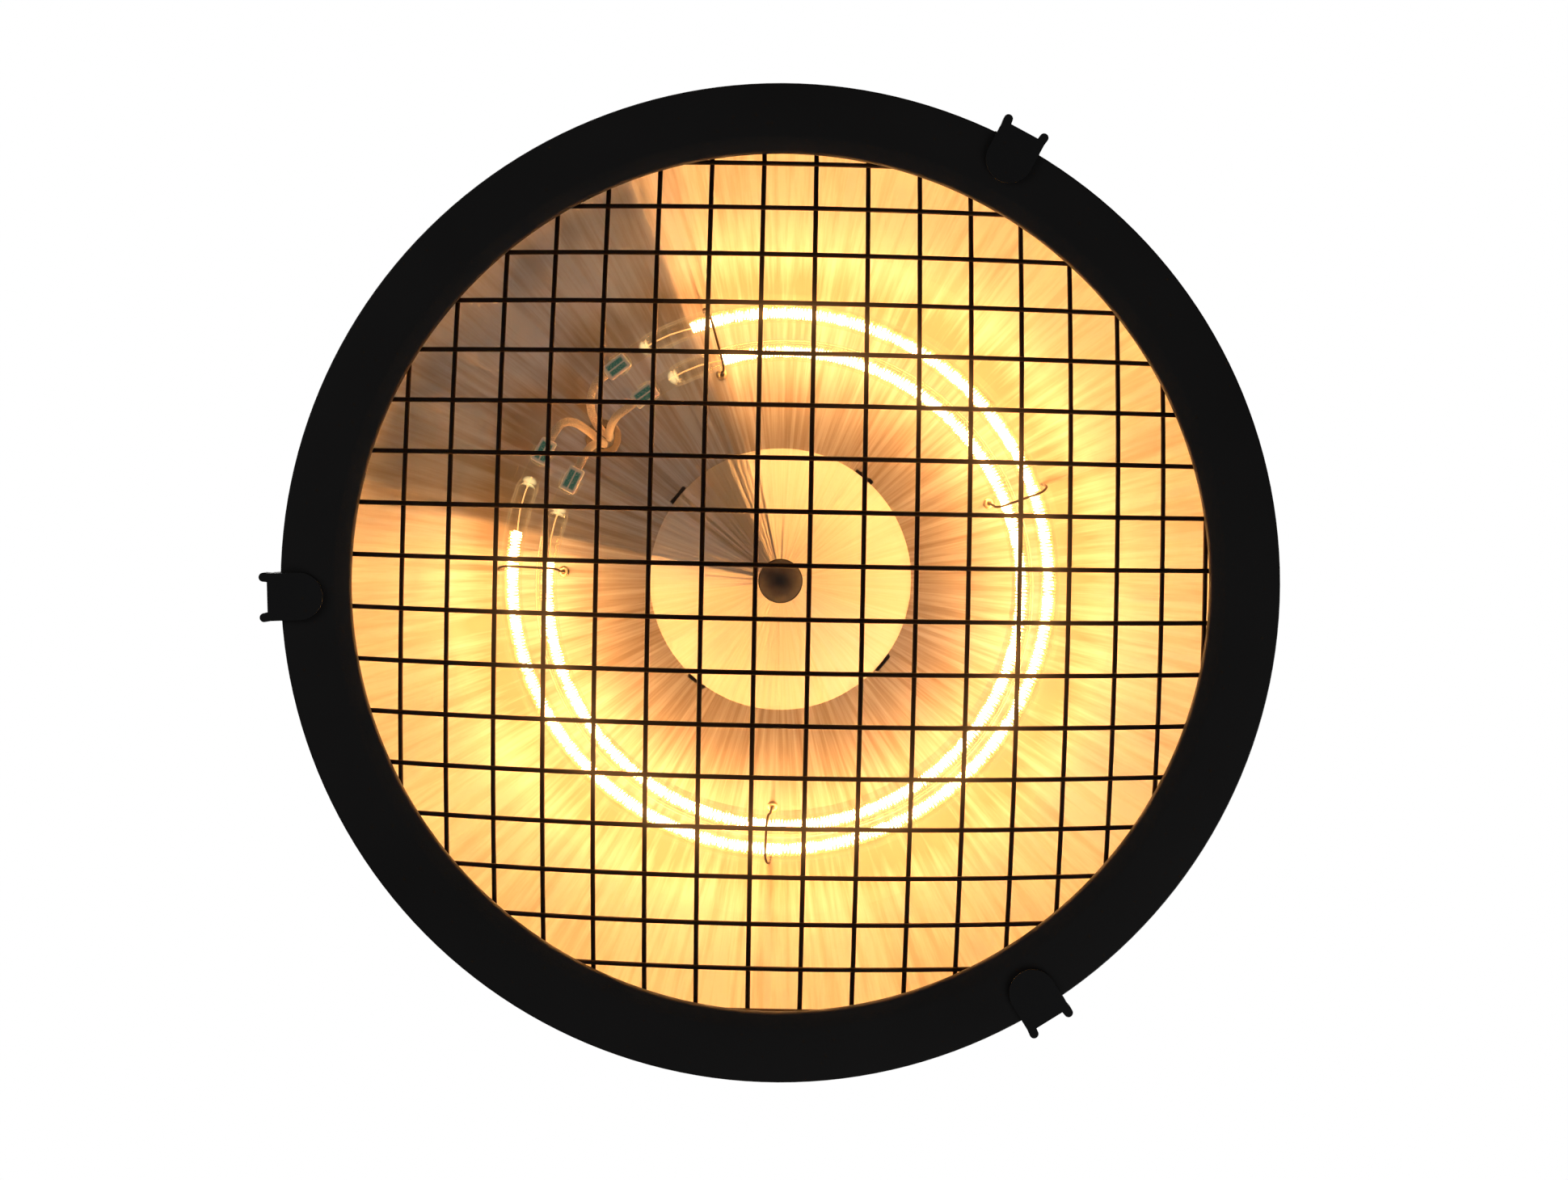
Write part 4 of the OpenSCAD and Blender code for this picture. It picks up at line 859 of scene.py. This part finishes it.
# %% [markdown]
# ## The lamps
# Each lamp is one straight quartz tube bent round into a ring. Its ends are drawn in to a round
# and pinched flat while the glass is hot, to seal it. So a circle is placed at one end, narrowed
# and flattened step by step into the seal, and spun along the ring; then the ring is turned and
# the other end is made in the same way. The spin operator turns clockwise about +Z, so the ring is
# spun about -Z.

# %% Bending a tube and pinching its ends
TUBE_R, TUBE_WALL = 4.75, 1.0
OUTER_Z, INNER_Z = 25.0, 22.4
LAMPS = {
    "outer": {"r": 115.3, "gap": math.radians(19.0), "place": Vector((0, 0, height(OUTER_Z)))},
    "inner": {"r": 101.8, "gap": math.radians(21.5),
              "place": Vector((1.6 * MM, 3.2 * MM, height(INNER_Z)))},
}
# Each step: mm past the round's start, width and height as shares of the tube's
ROUNDED = [(1.2, 0.995, 0.97), (2.3, 0.97, 0.88), (3.2, 0.94, 0.74), (3.9, 0.91, 0.58),
           (4.4, 0.88, 0.43), (4.75, 0.85, 0.33)]
SEALED = ROUNDED + [(5.4, 0.845, 0.316), (10, 0.845, 0.316), (15.2, 0.842, 0.316),
                    (15.6, 0.82, 0.27)]
CLOSED = [(1.2, 0.97, 0.96), (2.2, 0.88, 0.86), (3.0, 0.73, 0.68), (3.5, 0.5, 0.45),
          (3.7, 0.2, 0.18)]


def drawn_in(ring_r, way, steps):
    """In edit mode, with an end ring at azimuth 0 selected: extrudes it step by step and fills it."""
    before = (0.0, 1.0, 1.0)
    for step in steps:
        turn, turned = before[0] / ring_r, step[0] / ring_r
        at = Vector((ring_r * math.cos(turned), way * ring_r * math.sin(turned), 0))
        was = Vector((ring_r * math.cos(turn), way * ring_r * math.sin(turn), 0))
        bpy.ops.mesh.extrude_region_move(TRANSFORM_OT_translate={"value": (at - was) * MM})
        bpy.ops.transform.resize(value=(step[1] / before[1], 1, step[2] / before[2]),
                                 center_override=at * MM)
        before = step
    bpy.ops.mesh.edge_face_add()


def bent_tube(radius, ring_r, start, end, ends, vertices):
    """A tube along a ring, from azimuth start to end, with both ends drawn in."""
    nothing_selected()
    bpy.ops.mesh.primitive_circle_add(vertices=vertices, radius=radius * MM,
                                      location=(ring_r * MM, 0, 0), rotation=(math.pi / 2, 0, 0))
    tube = bpy.context.object
    bpy.ops.object.transform_apply(location=True, rotation=True)
    edit_all()
    drawn_in(ring_r, -1, ends)
    select_where(tube, lambda v: abs(v.co.y) < 0.01 * MM and v.co.x > 0)
    bpy.ops.mesh.spin(steps=150, angle=end - start, center=(0, 0, 0), axis=(0, 0, -1))
    bpy.ops.object.mode_set(mode="OBJECT")
    tube.rotation_euler.z = -(end - start)
    bpy.ops.object.transform_apply(rotation=True)
    bpy.ops.object.mode_set(mode="EDIT")
    drawn_in(ring_r, 1, ends)
    bpy.ops.object.mode_set(mode="OBJECT")
    tube.rotation_euler.z = end
    bpy.ops.object.transform_apply(rotation=True)
    return tube


# %% [markdown]
# A tube needs its wall, or it would shine like a solid rod. So each is bent twice: the outer skin,
# which ends in the flat seals, and the bore, which closes in a round before them. The bore's faces
# are turned inwards, and the two are joined into one glass.

# %% Both quartz tubes
for side, lamp in LAMPS.items():
    round_turn = ROUNDED[-1][0] / lamp["r"]
    first = GAP_AZ + lamp["gap"] + round_turn
    last = GAP_AZ + 2 * math.pi - lamp["gap"] - round_turn
    skin = settled(bent_tube(TUBE_R, lamp["r"], first, last, SEALED, 32), "skin", 50)
    bore = settled(bent_tube(TUBE_R - TUBE_WALL, lamp["r"], first, last, CLOSED, 24), "bore", 50)
    edit_all()
    bpy.ops.mesh.flip_normals()
    bpy.ops.object.mode_set(mode="OBJECT")
    joined(skin, bore)
    skin.location = lamp["place"]
    bpy.ops.object.transform_apply(location=True)
    skin.name = side + "_tube_bent"
    ends = [lamp["place"] + polar(lamp["r"] * MM, GAP_AZ + way * (lamp["gap"] + 0.9 / lamp["r"]))
            for way in (-1, 1)]
    piece(skin, quartz_finish(side + " lamp quartz", 0.35, ends), "quartz", "heater",
          side + "_lamp_glass")

# %% [markdown]
# Coils, hooks, springs and leads are all something round that follows a line. A curve with
# thickness makes that from a list of points, and is then converted to a mesh. It runs straight
# from point to point where the points lie close, and smoothly through them for the leads.

# %% Round wire along points
def wire_along(name, ways, thickness, sides=2, smooth=False):
    """Round wire along one or more lists of points: a curve, given thickness and converted."""
    line = bpy.data.curves.new(name, "CURVE")
    line.dimensions = "3D"
    line.bevel_depth = thickness / 2 * MM
    line.bevel_resolution = sides
    line.resolution_u = 8
    line.use_fill_caps = True
    for points in ways:
        way = line.splines.new("BEZIER" if smooth else "POLY")
        if smooth:
            way.bezier_points.add(len(points) - 1)
            for point, place in zip(way.bezier_points, points):
                point.co = place
                point.handle_left_type = point.handle_right_type = "AUTO"
        else:
            way.points.add(len(points) - 1)
            for point, place in zip(way.points, points):
                point.co = (*place, 1)
    obj = bpy.data.objects.new(name, line)
    bpy.context.collection.objects.link(obj)
    only(obj)
    bpy.ops.object.convert(target="MESH")
    bpy.ops.object.shade_smooth()
    return obj


# %% [markdown]
# The heating wire is wound into one long fine coil, about 500 turns, too many to place by hand.
# So the coil's line is worked out: its winding goes round the tube's ring, close to the inner
# wall where it has sagged, with turns that are not quite alike. Nearly straight legs, which only
# glow dully, lead from its ends to the seals.

# %% Heating coils
COIL_R, COIL_WIRE, LEG_WIRE = 2.35, 0.42, 0.6
COIL_SAG = 0.8
LEG_L = 22.0
TURNS = {"outer": 500, "inner": 430}
AROUND = 9
# Each point of a leg: its share of the way to the seal, and how far it bows out
LEG_BOWS = [(0.0, -0.9), (0.15, -0.5), (0.4, 0.1), (0.7, 0.25), (1.0, 0.0)]
for side, lamp in LAMPS.items():
    chance = random.Random(len(side) + 2)
    leg = LEG_L / lamp["r"]
    first = GAP_AZ + lamp["gap"] + leg
    sweep = 2 * math.pi - 2 * (lamp["gap"] + leg)
    count = TURNS[side]
    spread = [1.0 + chance.uniform(-0.28, 0.28) for _ in range(count)]
    wide = [COIL_R * (1 - 0.34 * chance.random() ** 2) for _ in range(count + 1)]
    share = sweep / sum(spread)
    coil, azimuth = [], first
    for turn in range(count):
        for k in range(AROUND):
            part = k / AROUND
            reach = wide[turn] * (1 - part) + wide[turn + 1] * part
            around = 2 * math.pi * part
            coil.append(lamp["place"] + polar(
                (lamp["r"] - COIL_SAG + reach * math.cos(around)) * MM,
                azimuth + share * spread[turn] * part, reach * math.sin(around) * MM))
        azimuth += share * spread[turn]
    filament = wire_along(side + "_coil_wound", [coil], COIL_WIRE, sides=1)
    piece(filament, GLOW, "glowing_wire", "heater", side + "_filament")
    legs = []
    for way, start in ((-1, first), (1, first + sweep)):
        seal = start + way * (leg + 2.0 / lamp["r"])
        legs.append([lamp["place"] + polar((lamp["r"] + bow) * MM, start + (seal - start) * part)
                     for part, bow in LEG_BOWS])
    lead_in = wire_along(side + "_lead_in_wires", legs, LEG_WIRE)
    piece(lead_in, WARM_WIRE, "glowing_wire", "heater")

# %% [markdown]
# ## The lamps' ends
# A pale ceramic cap is pushed over each flat seal, and a lead comes out of its far end. The ink,
# the collars and the leads are all placed from the caps, so these helpers measure from a cap once
# for all of them.

# %% Where the caps sit
SEAL_L, CAP_GRIP = 11.0, 2.0
CAP_L, CAP_W, CAP_H = 10.4, 6.9, 6.2


def cap_turn(lamp):
    """How far a cap's middle lies from the gap's middle, as an angle."""
    return lamp["gap"] - (SEAL_L - CAP_GRIP + CAP_L / 2) / lamp["r"]


def cap_middle(lamp, side):
    return lamp["place"] + polar(lamp["r"] * MM, GAP_AZ + side * cap_turn(lamp))


def cap_way(lamp, side):
    """The way from the lamp's end out through its cap."""
    return -side * polar(1, GAP_AZ + side * cap_turn(lamp) + math.pi / 2)


def along_cap(lamp, side, run, aside, lift):
    """A point by a cap: mm out along it, mm away from the axis and mm up."""
    out = polar(1, GAP_AZ + side * cap_turn(lamp))
    return (cap_middle(lamp, side) + cap_way(lamp, side) * run * MM + out * aside * MM
            + Vector((0, 0, lift * MM)))


# %% [markdown]
# The cap is a block with rounded edges, which a bevel makes. A clear collar, bent like a U, holds
# it: a thin glass rod, and so a line of points with thickness.

# %% Caps and collars
# One side of a collar, in mm out along the cap and away from its axis
COLLAR_HALF = [(0.5, 4.55), (-0.3, 4.15), (-2.0, 4.1), (-3.9, 3.85), (-5.3, 2.9), (-6.0, 1.5)]
COLLAR = COLLAR_HALF + [(-6.2, 0)] + [(run, -aside) for run, aside in reversed(COLLAR_HALF)]
for side, lamp in LAMPS.items():
    blocks, loops = [], []
    for end in (-1, 1):
        block = block_at(cap_middle(lamp, end), GAP_AZ + end * cap_turn(lamp),
                         (CAP_W, CAP_L + 0.6, CAP_H))
        bpy.ops.object.transform_apply(location=True, rotation=True, scale=True)
        modified(block, "BEVEL", width=0.9 * MM, segments=4, limit_method="NONE")
        blocks.append(block)
        loops.append([along_cap(lamp, end, run, aside, -0.6) for run, aside in COLLAR])
    caps = settled(joined(*blocks), side + "_caps_moulded", 60)
    places = [cap_middle(lamp, end) for end in (-1, 1)]
    ways = [cap_way(lamp, end) for end in (-1, 1)]
    piece(caps, cap_finish(side + " cap ceramic", places, ways), "lamp_ceramic", "heater",
          side + "_lamp_caps")
    collar = wire_along(side + "_cap_collars", loops, 0.95, sides=3)
    piece(collar, SEAL_QUARTZ, "quartz", "heater")

# %% [markdown]
# ## The leads
# Four leads in woven sleeves bow from the caps to the eyelet, one pair from each side, and run
# on together behind the reflector. Each bow is a few listed shares of the way, and the route
# behind the reflector is shared, as in the solids.

# %% The leads' routes
LEAD_R = 1.8
BUNDLE = 1.9
LEAD_RUN_Z = TOP_Z - 9.5
ENTRY_Z = TOP_Z + 14.5
# Each point of a bow: its share of the way to the eyelet, how far it bows aside as a share of the
# way's length, and its share of the rise
BOWS = {
    ("outer", 1, "far"): [(0.13, 0.13, 0.02), (0.34, 0.22, 0.14), (0.59, 0.23, 0.36),
                          (0.81, 0.15, 0.61), (0.96, 0.04, 0.82)],
    ("outer", -1, "near"): [(0.13, -0.2, 0.02), (0.28, -0.36, 0.11), (0.52, -0.38, 0.29),
                            (0.74, -0.25, 0.5), (0.91, -0.1, 0.73)],
    ("inner", 1, "far"): [(0.23, 0.05, 0.01), (0.46, 0.11, 0.12), (0.68, 0.11, 0.31),
                          (0.85, 0.07, 0.58), (0.96, 0.02, 0.8)],
    ("inner", -1, "near"): [(0.35, -0.09, 0.02), (0.56, -0.15, 0.11), (0.75, -0.16, 0.26),
                            (0.88, -0.13, 0.46), (0.97, -0.06, 0.69)],
}
# Each point of the shared route: radius, height, and how far the leads have fanned out
TRUNK = [
    (EYE_R, 53, 0), (EYE_R, 59, 0), (EYE_R - 1.2, 65.5, 0), (EYE_R - 5.2, 72, 0),
    (EYE_R - 12.2, LEAD_RUN_Z - 5.5, 0), (EYE_R - 21.7, LEAD_RUN_Z - 2, 0),
    (EYE_R - 32.7, LEAD_RUN_Z - 0.5, 0), (SHADE_HOLE + 19, LEAD_RUN_Z, 0),
    (SHADE_HOLE + 10, LEAD_RUN_Z + 1, 0), (SHADE_HOLE + 3.5, TOP_Z - 5, 0),
    (SHADE_HOLE + 0.5, TOP_Z + 0.5, 0), (SHADE_HOLE, TOP_Z + 6, 0.05),
    (SHADE_HOLE - 2, ENTRY_Z - 3.5, 0.2), (SHADE_HOLE - 6.5, ENTRY_Z - 0.5, 0.5),
    (SHADE_HOLE - 12.5, ENTRY_Z, 0.85), (17, ENTRY_Z, 1), (10, ENTRY_Z, 1),
]


def trunk_point(i, out, side):
    """A point of the shared route, shifted by one lead's place in the bundle."""
    before, after = TRUNK[max(i - 1, 0)], TRUNK[min(i + 1, len(TRUNK) - 1)]
    way = Vector((after[0] - before[0], after[1] - before[1])).normalized()
    across = Vector((way.y, -way.x)) * out * BUNDLE
    fan = side * (BUNDLE + TRUNK[i][2] * (8 + out * 4 - BUNDLE))
    return (polar((TRUNK[i][0] + across.x) * MM, LEAD_AZ, height(TRUNK[i][1] + across.y))
            + polar(fan * MM, LEAD_AZ + math.pi / 2))


# %% [markdown]
# Each lead starts inside its cap, follows its bow to the eyelet, and from there keeps its own place
# in the bundle. A smooth curve through these points bends as a springy hose does.

# %% Leads
for (lamp_name, side, reach), bow in BOWS.items():
    lamp = LAMPS[lamp_name]
    out = 1 if lamp_name == "outer" else -1
    mouth = cap_middle(lamp, side) + cap_way(lamp, side) * (CAP_L / 2 + 0.5) * MM
    eye = trunk_point(0, out, side)
    way = eye - mouth
    route = [mouth - cap_way(lamp, side) * 3.5 * MM, mouth]
    route += [mouth + Vector((along * way.x - aside * way.y, along * way.y + aside * way.x,
                              rise * way.z)) for along, aside, rise in bow]
    route += [trunk_point(i, out, side) for i in range(len(TRUNK))]
    node = "lead_" + lamp_name + "_" + reach
    lead = wire_along(node + "_woven", [route], 2 * LEAD_R, sides=5, smooth=True)
    piece(lead, SLEEVE, "lead_sleeve", "heater", node)

# %% [markdown]
# A pale rubber eyelet with a rolled lip lines the hole where the leads leave the dish, and a
# bushing of the same rubber lines the shade's hole above it. Both are turned outlines, spun about
# the heater's axis and then moved over their holes.

# %% Eyelet and bushing
def set_over(obj, place):
    """Moves a spun piece from the axis to its hole."""
    only(obj)
    obj.location = (place.x, place.y, 0)
    bpy.ops.object.transform_apply(location=True)
    return obj


eyelet_outline = (
    [(4.8, 54.6), (4.8, 52.6)]
    + arc((5.6, 52.3), 0.8, 180, 270, 5)
    + [(7.4, 51.5)]
    + arc((7.4, 51.95), 0.45, -90, 90, 5)
    + [(6.0, 52.4), (6.0, 53.8), (7.7, 53.8), (7.9, 54.1), (7.7, 54.9), (5.2, 55.0)]
)
eyelet = set_over(spun("lead_eyelet_rolled", eyelet_outline, 64, 40), LEAD_EYE)
piece(eyelet, RUBBER, "grommet_rubber", "heater", "lead_grommet")
bushing_outline = (
    [(6.5, 89.8)]
    + arc((9.9, 90.4), 0.6, 270, 360, 4)
    + [(10.5, 91.0), (BUSH_R, 91.0), (BUSH_R, 93.5), (10.5, 93.5)]
    + arc((9.9, 94.1), 0.6, 0, 90, 4)
    + arc((7.1, 94.1), 0.6, 90, 180, 4)
)
bushing = set_over(spun("shade_bushing_moulded", bushing_outline, 64, 40),
                   polar(SHADE_HOLE * MM, LEAD_AZ))
piece(bushing, RUBBER, "grommet_rubber", "heater", "shade_bushing")

# %% [markdown]
# ## The lamp hooks
# Both tubes hang in four wire hooks. Each comes out of a riveted eyelet in the reflector, runs
# under both tubes, and rises again past the outer one to the sheet. A thin wire never bends quite
# straight, so each swings a little to one side, which the solids leave out.

# %% Hooks
# The hooks' directions: bottom, left, top and right in the photograph
SUPPORTS = [math.radians(turn) for turn in (93.6, 183.6, 255.6, 341.6)]
HOOK_WIRE = 1.0
HOOK_R = TUBE_R + 0.2 + HOOK_WIRE / 2


def inner_radius(azimuth):
    """How far the inner lamp's line lies from the axis, in mm, on this side."""
    off = LAMPS["inner"]["place"] / MM
    along = off.x * math.cos(azimuth) + off.y * math.sin(azimuth)
    aside = -off.x * math.sin(azimuth) + off.y * math.cos(azimuth)
    return along + math.sqrt(LAMPS["inner"]["r"] ** 2 - aside ** 2)


def hook_way(azimuth):
    """One hook's line: down, round under both tubes, and up to the dish's wall."""
    near, far = inner_radius(azimuth), LAMPS["outer"]["r"]
    rise = math.degrees(math.atan2(OUTER_Z - INNER_Z, far - near))
    outline = [(near - HOOK_R, level) for level in (53.2, 50, 36, 24.5)]
    outline += arc((near, INNER_Z), HOOK_R, 180, 270 + rise, 9)
    outline += arc((far, OUTER_Z), HOOK_R, 270 + rise, 360, 7)
    outline += [(far + HOOK_R, 30), (far + HOOK_R, mirror_height(far + HOOK_R) + 0.3)]
    last = len(outline) - 1
    return [polar(r * MM, azimuth + math.radians(1.3) * math.sin(math.pi * i / last), height(z))
            for i, (r, z) in enumerate(outline)]


hooks = wire_along("lamp_hooks_bent", [hook_way(azimuth) for azimuth in SUPPORTS], HOOK_WIRE,
                   sides=3)
piece(hooks, HOT_WIRE, "hot_wire", "heater", "lamp_supports")

# %% [markdown]
# A small rolled eyelet stands out of the sheet where each hook comes through. It is spun about the
# axis and moved into place like the leads' eyelet, and the four are joined, as one solid has them.

# %% Eyelets of the hooks
rivet_rings = []
for azimuth in SUPPORTS:
    radius = inner_radius(azimuth) - HOOK_R
    sheet = mirror_height(radius + 2.5)
    outline = (
        [(0.55, sheet), (0.55, sheet - 1.2)]
        + arc((1.15, sheet - 1.1), 0.45, 190, 270, 4)
        + arc((1.7, sheet - 0.75), 0.8, -90, -5, 5)
        + [(2.5, sheet)]
    )
    rivet_rings.append(set_over(spun("rivet", outline, 40, 50), polar(radius * MM, azimuth)))
rivets = settled(joined(*rivet_rings), "hook_eyelets_rolled", 50)
piece(rivets, EYELET, "eyelet_brass", "heater", "support_rivets")

# %% [markdown]
# ## Folded, moulded and turned parts
# The rest keeps the shape of its solids, with the edges rounded as the part's making leaves them:
# widest on the moulded gland, smallest on cut wire and screws.

# %% Rounded copies of the other solids
# Each part: node, width of the rounding in mm, finish, slot and body
ROUNDED_PARTS = [
    ("bail", 0.5, POWDER, "powder_coat", "hanger"),
    ("housing", 0.35, POWDER, "powder_coat", "heater"),
    ("housing_lid", 0.3, POWDER, "powder_coat", "heater"),
    ("latch_lever_1", 0.35, LATCH, "latch_coat", "latch_1"),
    ("latch_lever_2", 0.35, LATCH, "latch_coat", "latch_2"),
    ("latch_lever_3", 0.35, LATCH, "latch_coat", "latch_3"),
    ("latch_brackets", 0.2, LATCH, "latch_coat", "heater"),
    ("guard_clamps", 0.2, LATCH, "latch_coat", "heater"),
    ("bracket_rivets", 0.3, BLACK_STEEL, "black_steel", "heater"),
    ("rim_screws", 0.3, BLACK_STEEL, "black_steel", "heater"),
    ("lid_screws", 0.4, BLACK_STEEL, "black_steel", "heater"),
    ("housing_screws", 0.4, BLACK_STEEL, "black_steel", "heater"),
    ("pivot_washers", 0.3, BLACK_STEEL, "black_steel", "heater"),
    ("pivot_bolts", 0.5, ZINC, "zinc_steel", "heater"),
    ("pivot_nuts", 0.4, ZINC, "zinc_steel", "heater"),
    ("cone_nut", 0.4, ZINC, "zinc_steel", "heater"),
    ("cone_stud", 0.3, ZINC, "zinc_steel", "heater"),
    ("latch_pins", 0.25, ZINC, "zinc_steel", "heater"),
    ("heat_shield", 0.2, SHIELD, "shield_sheet", "heater"),
    ("shield_spacers", 0.2, SHIELD, "shield_sheet", "heater"),
    ("terminal_block", 0.5, BLOCK, "block_ceramic", "heater"),
    ("terminal_screws", 0.3, BRASS, "terminal_brass", "heater"),
    ("thermal_cutout", 0.3, CUTOUT, "cutout_body", "heater"),
    ("cable_gland", 0.4, PLASTIC, "gland_plastic", "heater"),
    ("gland_cap", 0.5, PLASTIC, "gland_plastic", "heater"),
    ("gland_locknut", 0.3, PLASTIC, "gland_plastic", "heater"),
]
for node, width, finish, slot_name, body in ROUNDED_PARTS:
    piece(softened(node, width), finish, slot_name, body, node)

# %% [markdown]
# The latch springs are wound wire round the pins. Their solids have six-sided wire, so they are
# wound again here as round wire, with the same turns and the same two legs.

# %% Latch springs
PIN_R, PIN_LEVEL = 211.0, 20.7
SPRING_R, SPRING_PITCH, SPRING_TURNS, SPRING_WIRE = 2.0, 1.05, 3, 0.6
LATCH_AZ = [math.radians(60 + 120 * i) for i in range(3)]


def spring_way(azimuth):
    """One spring's line: a leg under the web, three turns round the pin, a short leg out."""
    turns = [i / 24 for i in range(24 * SPRING_TURNS + 1)]
    line = [(SPRING_R * math.sin(2 * math.pi * t), (t - SPRING_TURNS / 2) * SPRING_PITCH,
             -SPRING_R * math.cos(2 * math.pi * t)) for t in turns]
    first, last = line[0], line[-1]
    line = [(first[0] - 4.5,) + first[1:], (first[0] - 2,) + first[1:]] + line
    line.append((last[0] + 1.2,) + last[1:])
    return [polar((PIN_R + out) * MM, azimuth, height(PIN_LEVEL + up))
            + polar(aside * MM, azimuth + math.pi / 2) for out, aside, up in line]


springs = wire_along("latch_springs_wound", [spring_way(azimuth) for azimuth in LATCH_AZ],
                     SPRING_WIRE, sides=3)
piece(springs, ZINC, "zinc_steel", "heater", "latch_springs")

# %% [markdown]
# ## Light, floor and camera
# The heater hangs in front of a bright white ground and is lit mostly by its own coils. Two soft
# lights from below fill the black rim, and two from above show the shade and the housing from the
# other side. The sky is white where the camera sees it, but as a light it is dim and warm, like a
# room lit by the heater, so that the black coat stays black.

# %% White ground and soft light
world = bpy.data.worlds.new("white studio")
bpy.context.scene.world = world
world.use_nodes = True
sky = world.node_tree
seen = sky.nodes.new("ShaderNodeLightPath")
level = sky.nodes.new("ShaderNodeMix")
level.data_type = "RGBA"
sky.links.new(seen.outputs["Is Camera Ray"], level.inputs[0])
connect(sky, (0.05, 0.032, 0.021), level.inputs[6])
connect(sky, (1.0, 1.0, 1.0), level.inputs[7])
sky.links.new(level.outputs[2], sky.nodes["Background"].inputs["Color"])


def soft_light(name, place, size, power, tint):
    """A square area light that faces the heater."""
    nothing_selected()
    aim = Vector((0, 0, height(40))) - Vector(place)
    bpy.ops.object.light_add(type="AREA", location=place,
                             rotation=aim.to_track_quat("-Z", "Y").to_euler())
    light = bpy.context.object
    light.name = name
    light.data.size = size
    light.data.energy = power
    light.data.color = tint


soft_light("soft light from the front", (0.9, 1.1, -1.5), 1.2, 1.9, (0.97, 0.98, 1.0))
soft_light("soft light from the left", (-1.3, -0.5, -1.3), 1.0, 1.1, (0.97, 0.98, 1.0))
soft_light("soft light from above", (-1.0, -1.3, 1.3), 1.6, 34.0, (1.0, 0.99, 0.97))
soft_light("soft light from behind", (1.3, 1.0, 0.9), 1.3, 19.0, (0.97, 0.98, 1.0))

# %% [markdown]
# The floor lies well below and closes the view from the side. It is made in the same way as the
# sky: it looks pale to the camera and throws little light back up.

# %% Floor
nothing_selected()
bpy.ops.mesh.primitive_plane_add(size=14, location=(0, 0, -2.4))
floor = bpy.context.object
floor.name = "floor"
FLOOR = moulded("pale floor", (0.10, 0.10, 0.10), (0.13, 0.13, 0.13), 0.8, 40, 0.0001, 0.2)
floor_tree = FLOOR.node_tree
seen_floor = floor_tree.nodes.new("ShaderNodeLightPath")
paled = Value(floor_tree, seen_floor.outputs["Is Camera Ray"])
painted(floor_tree.nodes["Principled BSDF"], {
    "Emission Color": paled.mix((0.0, 0.0, 0.0), (0.66, 0.65, 0.64)),
    "Emission Strength": 1.0,
})
floor.data.materials.append(FLOOR)

# %% [markdown]
# The camera stands 1.36 m under the rim and looks straight up. Its frame is turned by 1.6
# degrees, as the photograph's is, and shifted so that the rim falls where it does there.

# %% Camera
bpy.ops.object.camera_add(location=(1.2 * MM, -42 * MM, height(-1357)),
                          rotation=(math.pi, 0, math.radians(1.6)))
camera = bpy.context.object
camera.data.lens = 74.2
camera.data.sensor_width = 36
camera.data.shift_x = 0.00227
camera.data.shift_y = -0.0684
camera.data.clip_end = 50
bpy.context.scene.camera = camera

# %% [markdown]
# The picture is taken without a film curve, so that the hot parts burn out to yellow and white as
# they do in the photograph, and a small bloom lets the coils' light spill over the wires.

# %% Exposure and bloom
scene = bpy.context.scene
scene.view_settings.view_transform = "Standard"
scene.use_nodes = True
flow = scene.node_tree
layers = flow.nodes["Render Layers"]
bloom = flow.nodes.new("CompositorNodeGlare")
bloom.glare_type = "BLOOM"
for name, value in {"Threshold": 4.0, "Strength": 0.08, "Size": 0.1, "Maximum": 12.0}.items():
    bloom.inputs[name].default_value = value
flow.links.new(layers.outputs["Image"], bloom.inputs["Image"])
flow.links.new(bloom.outputs["Image"], flow.nodes["Composite"].inputs["Image"])
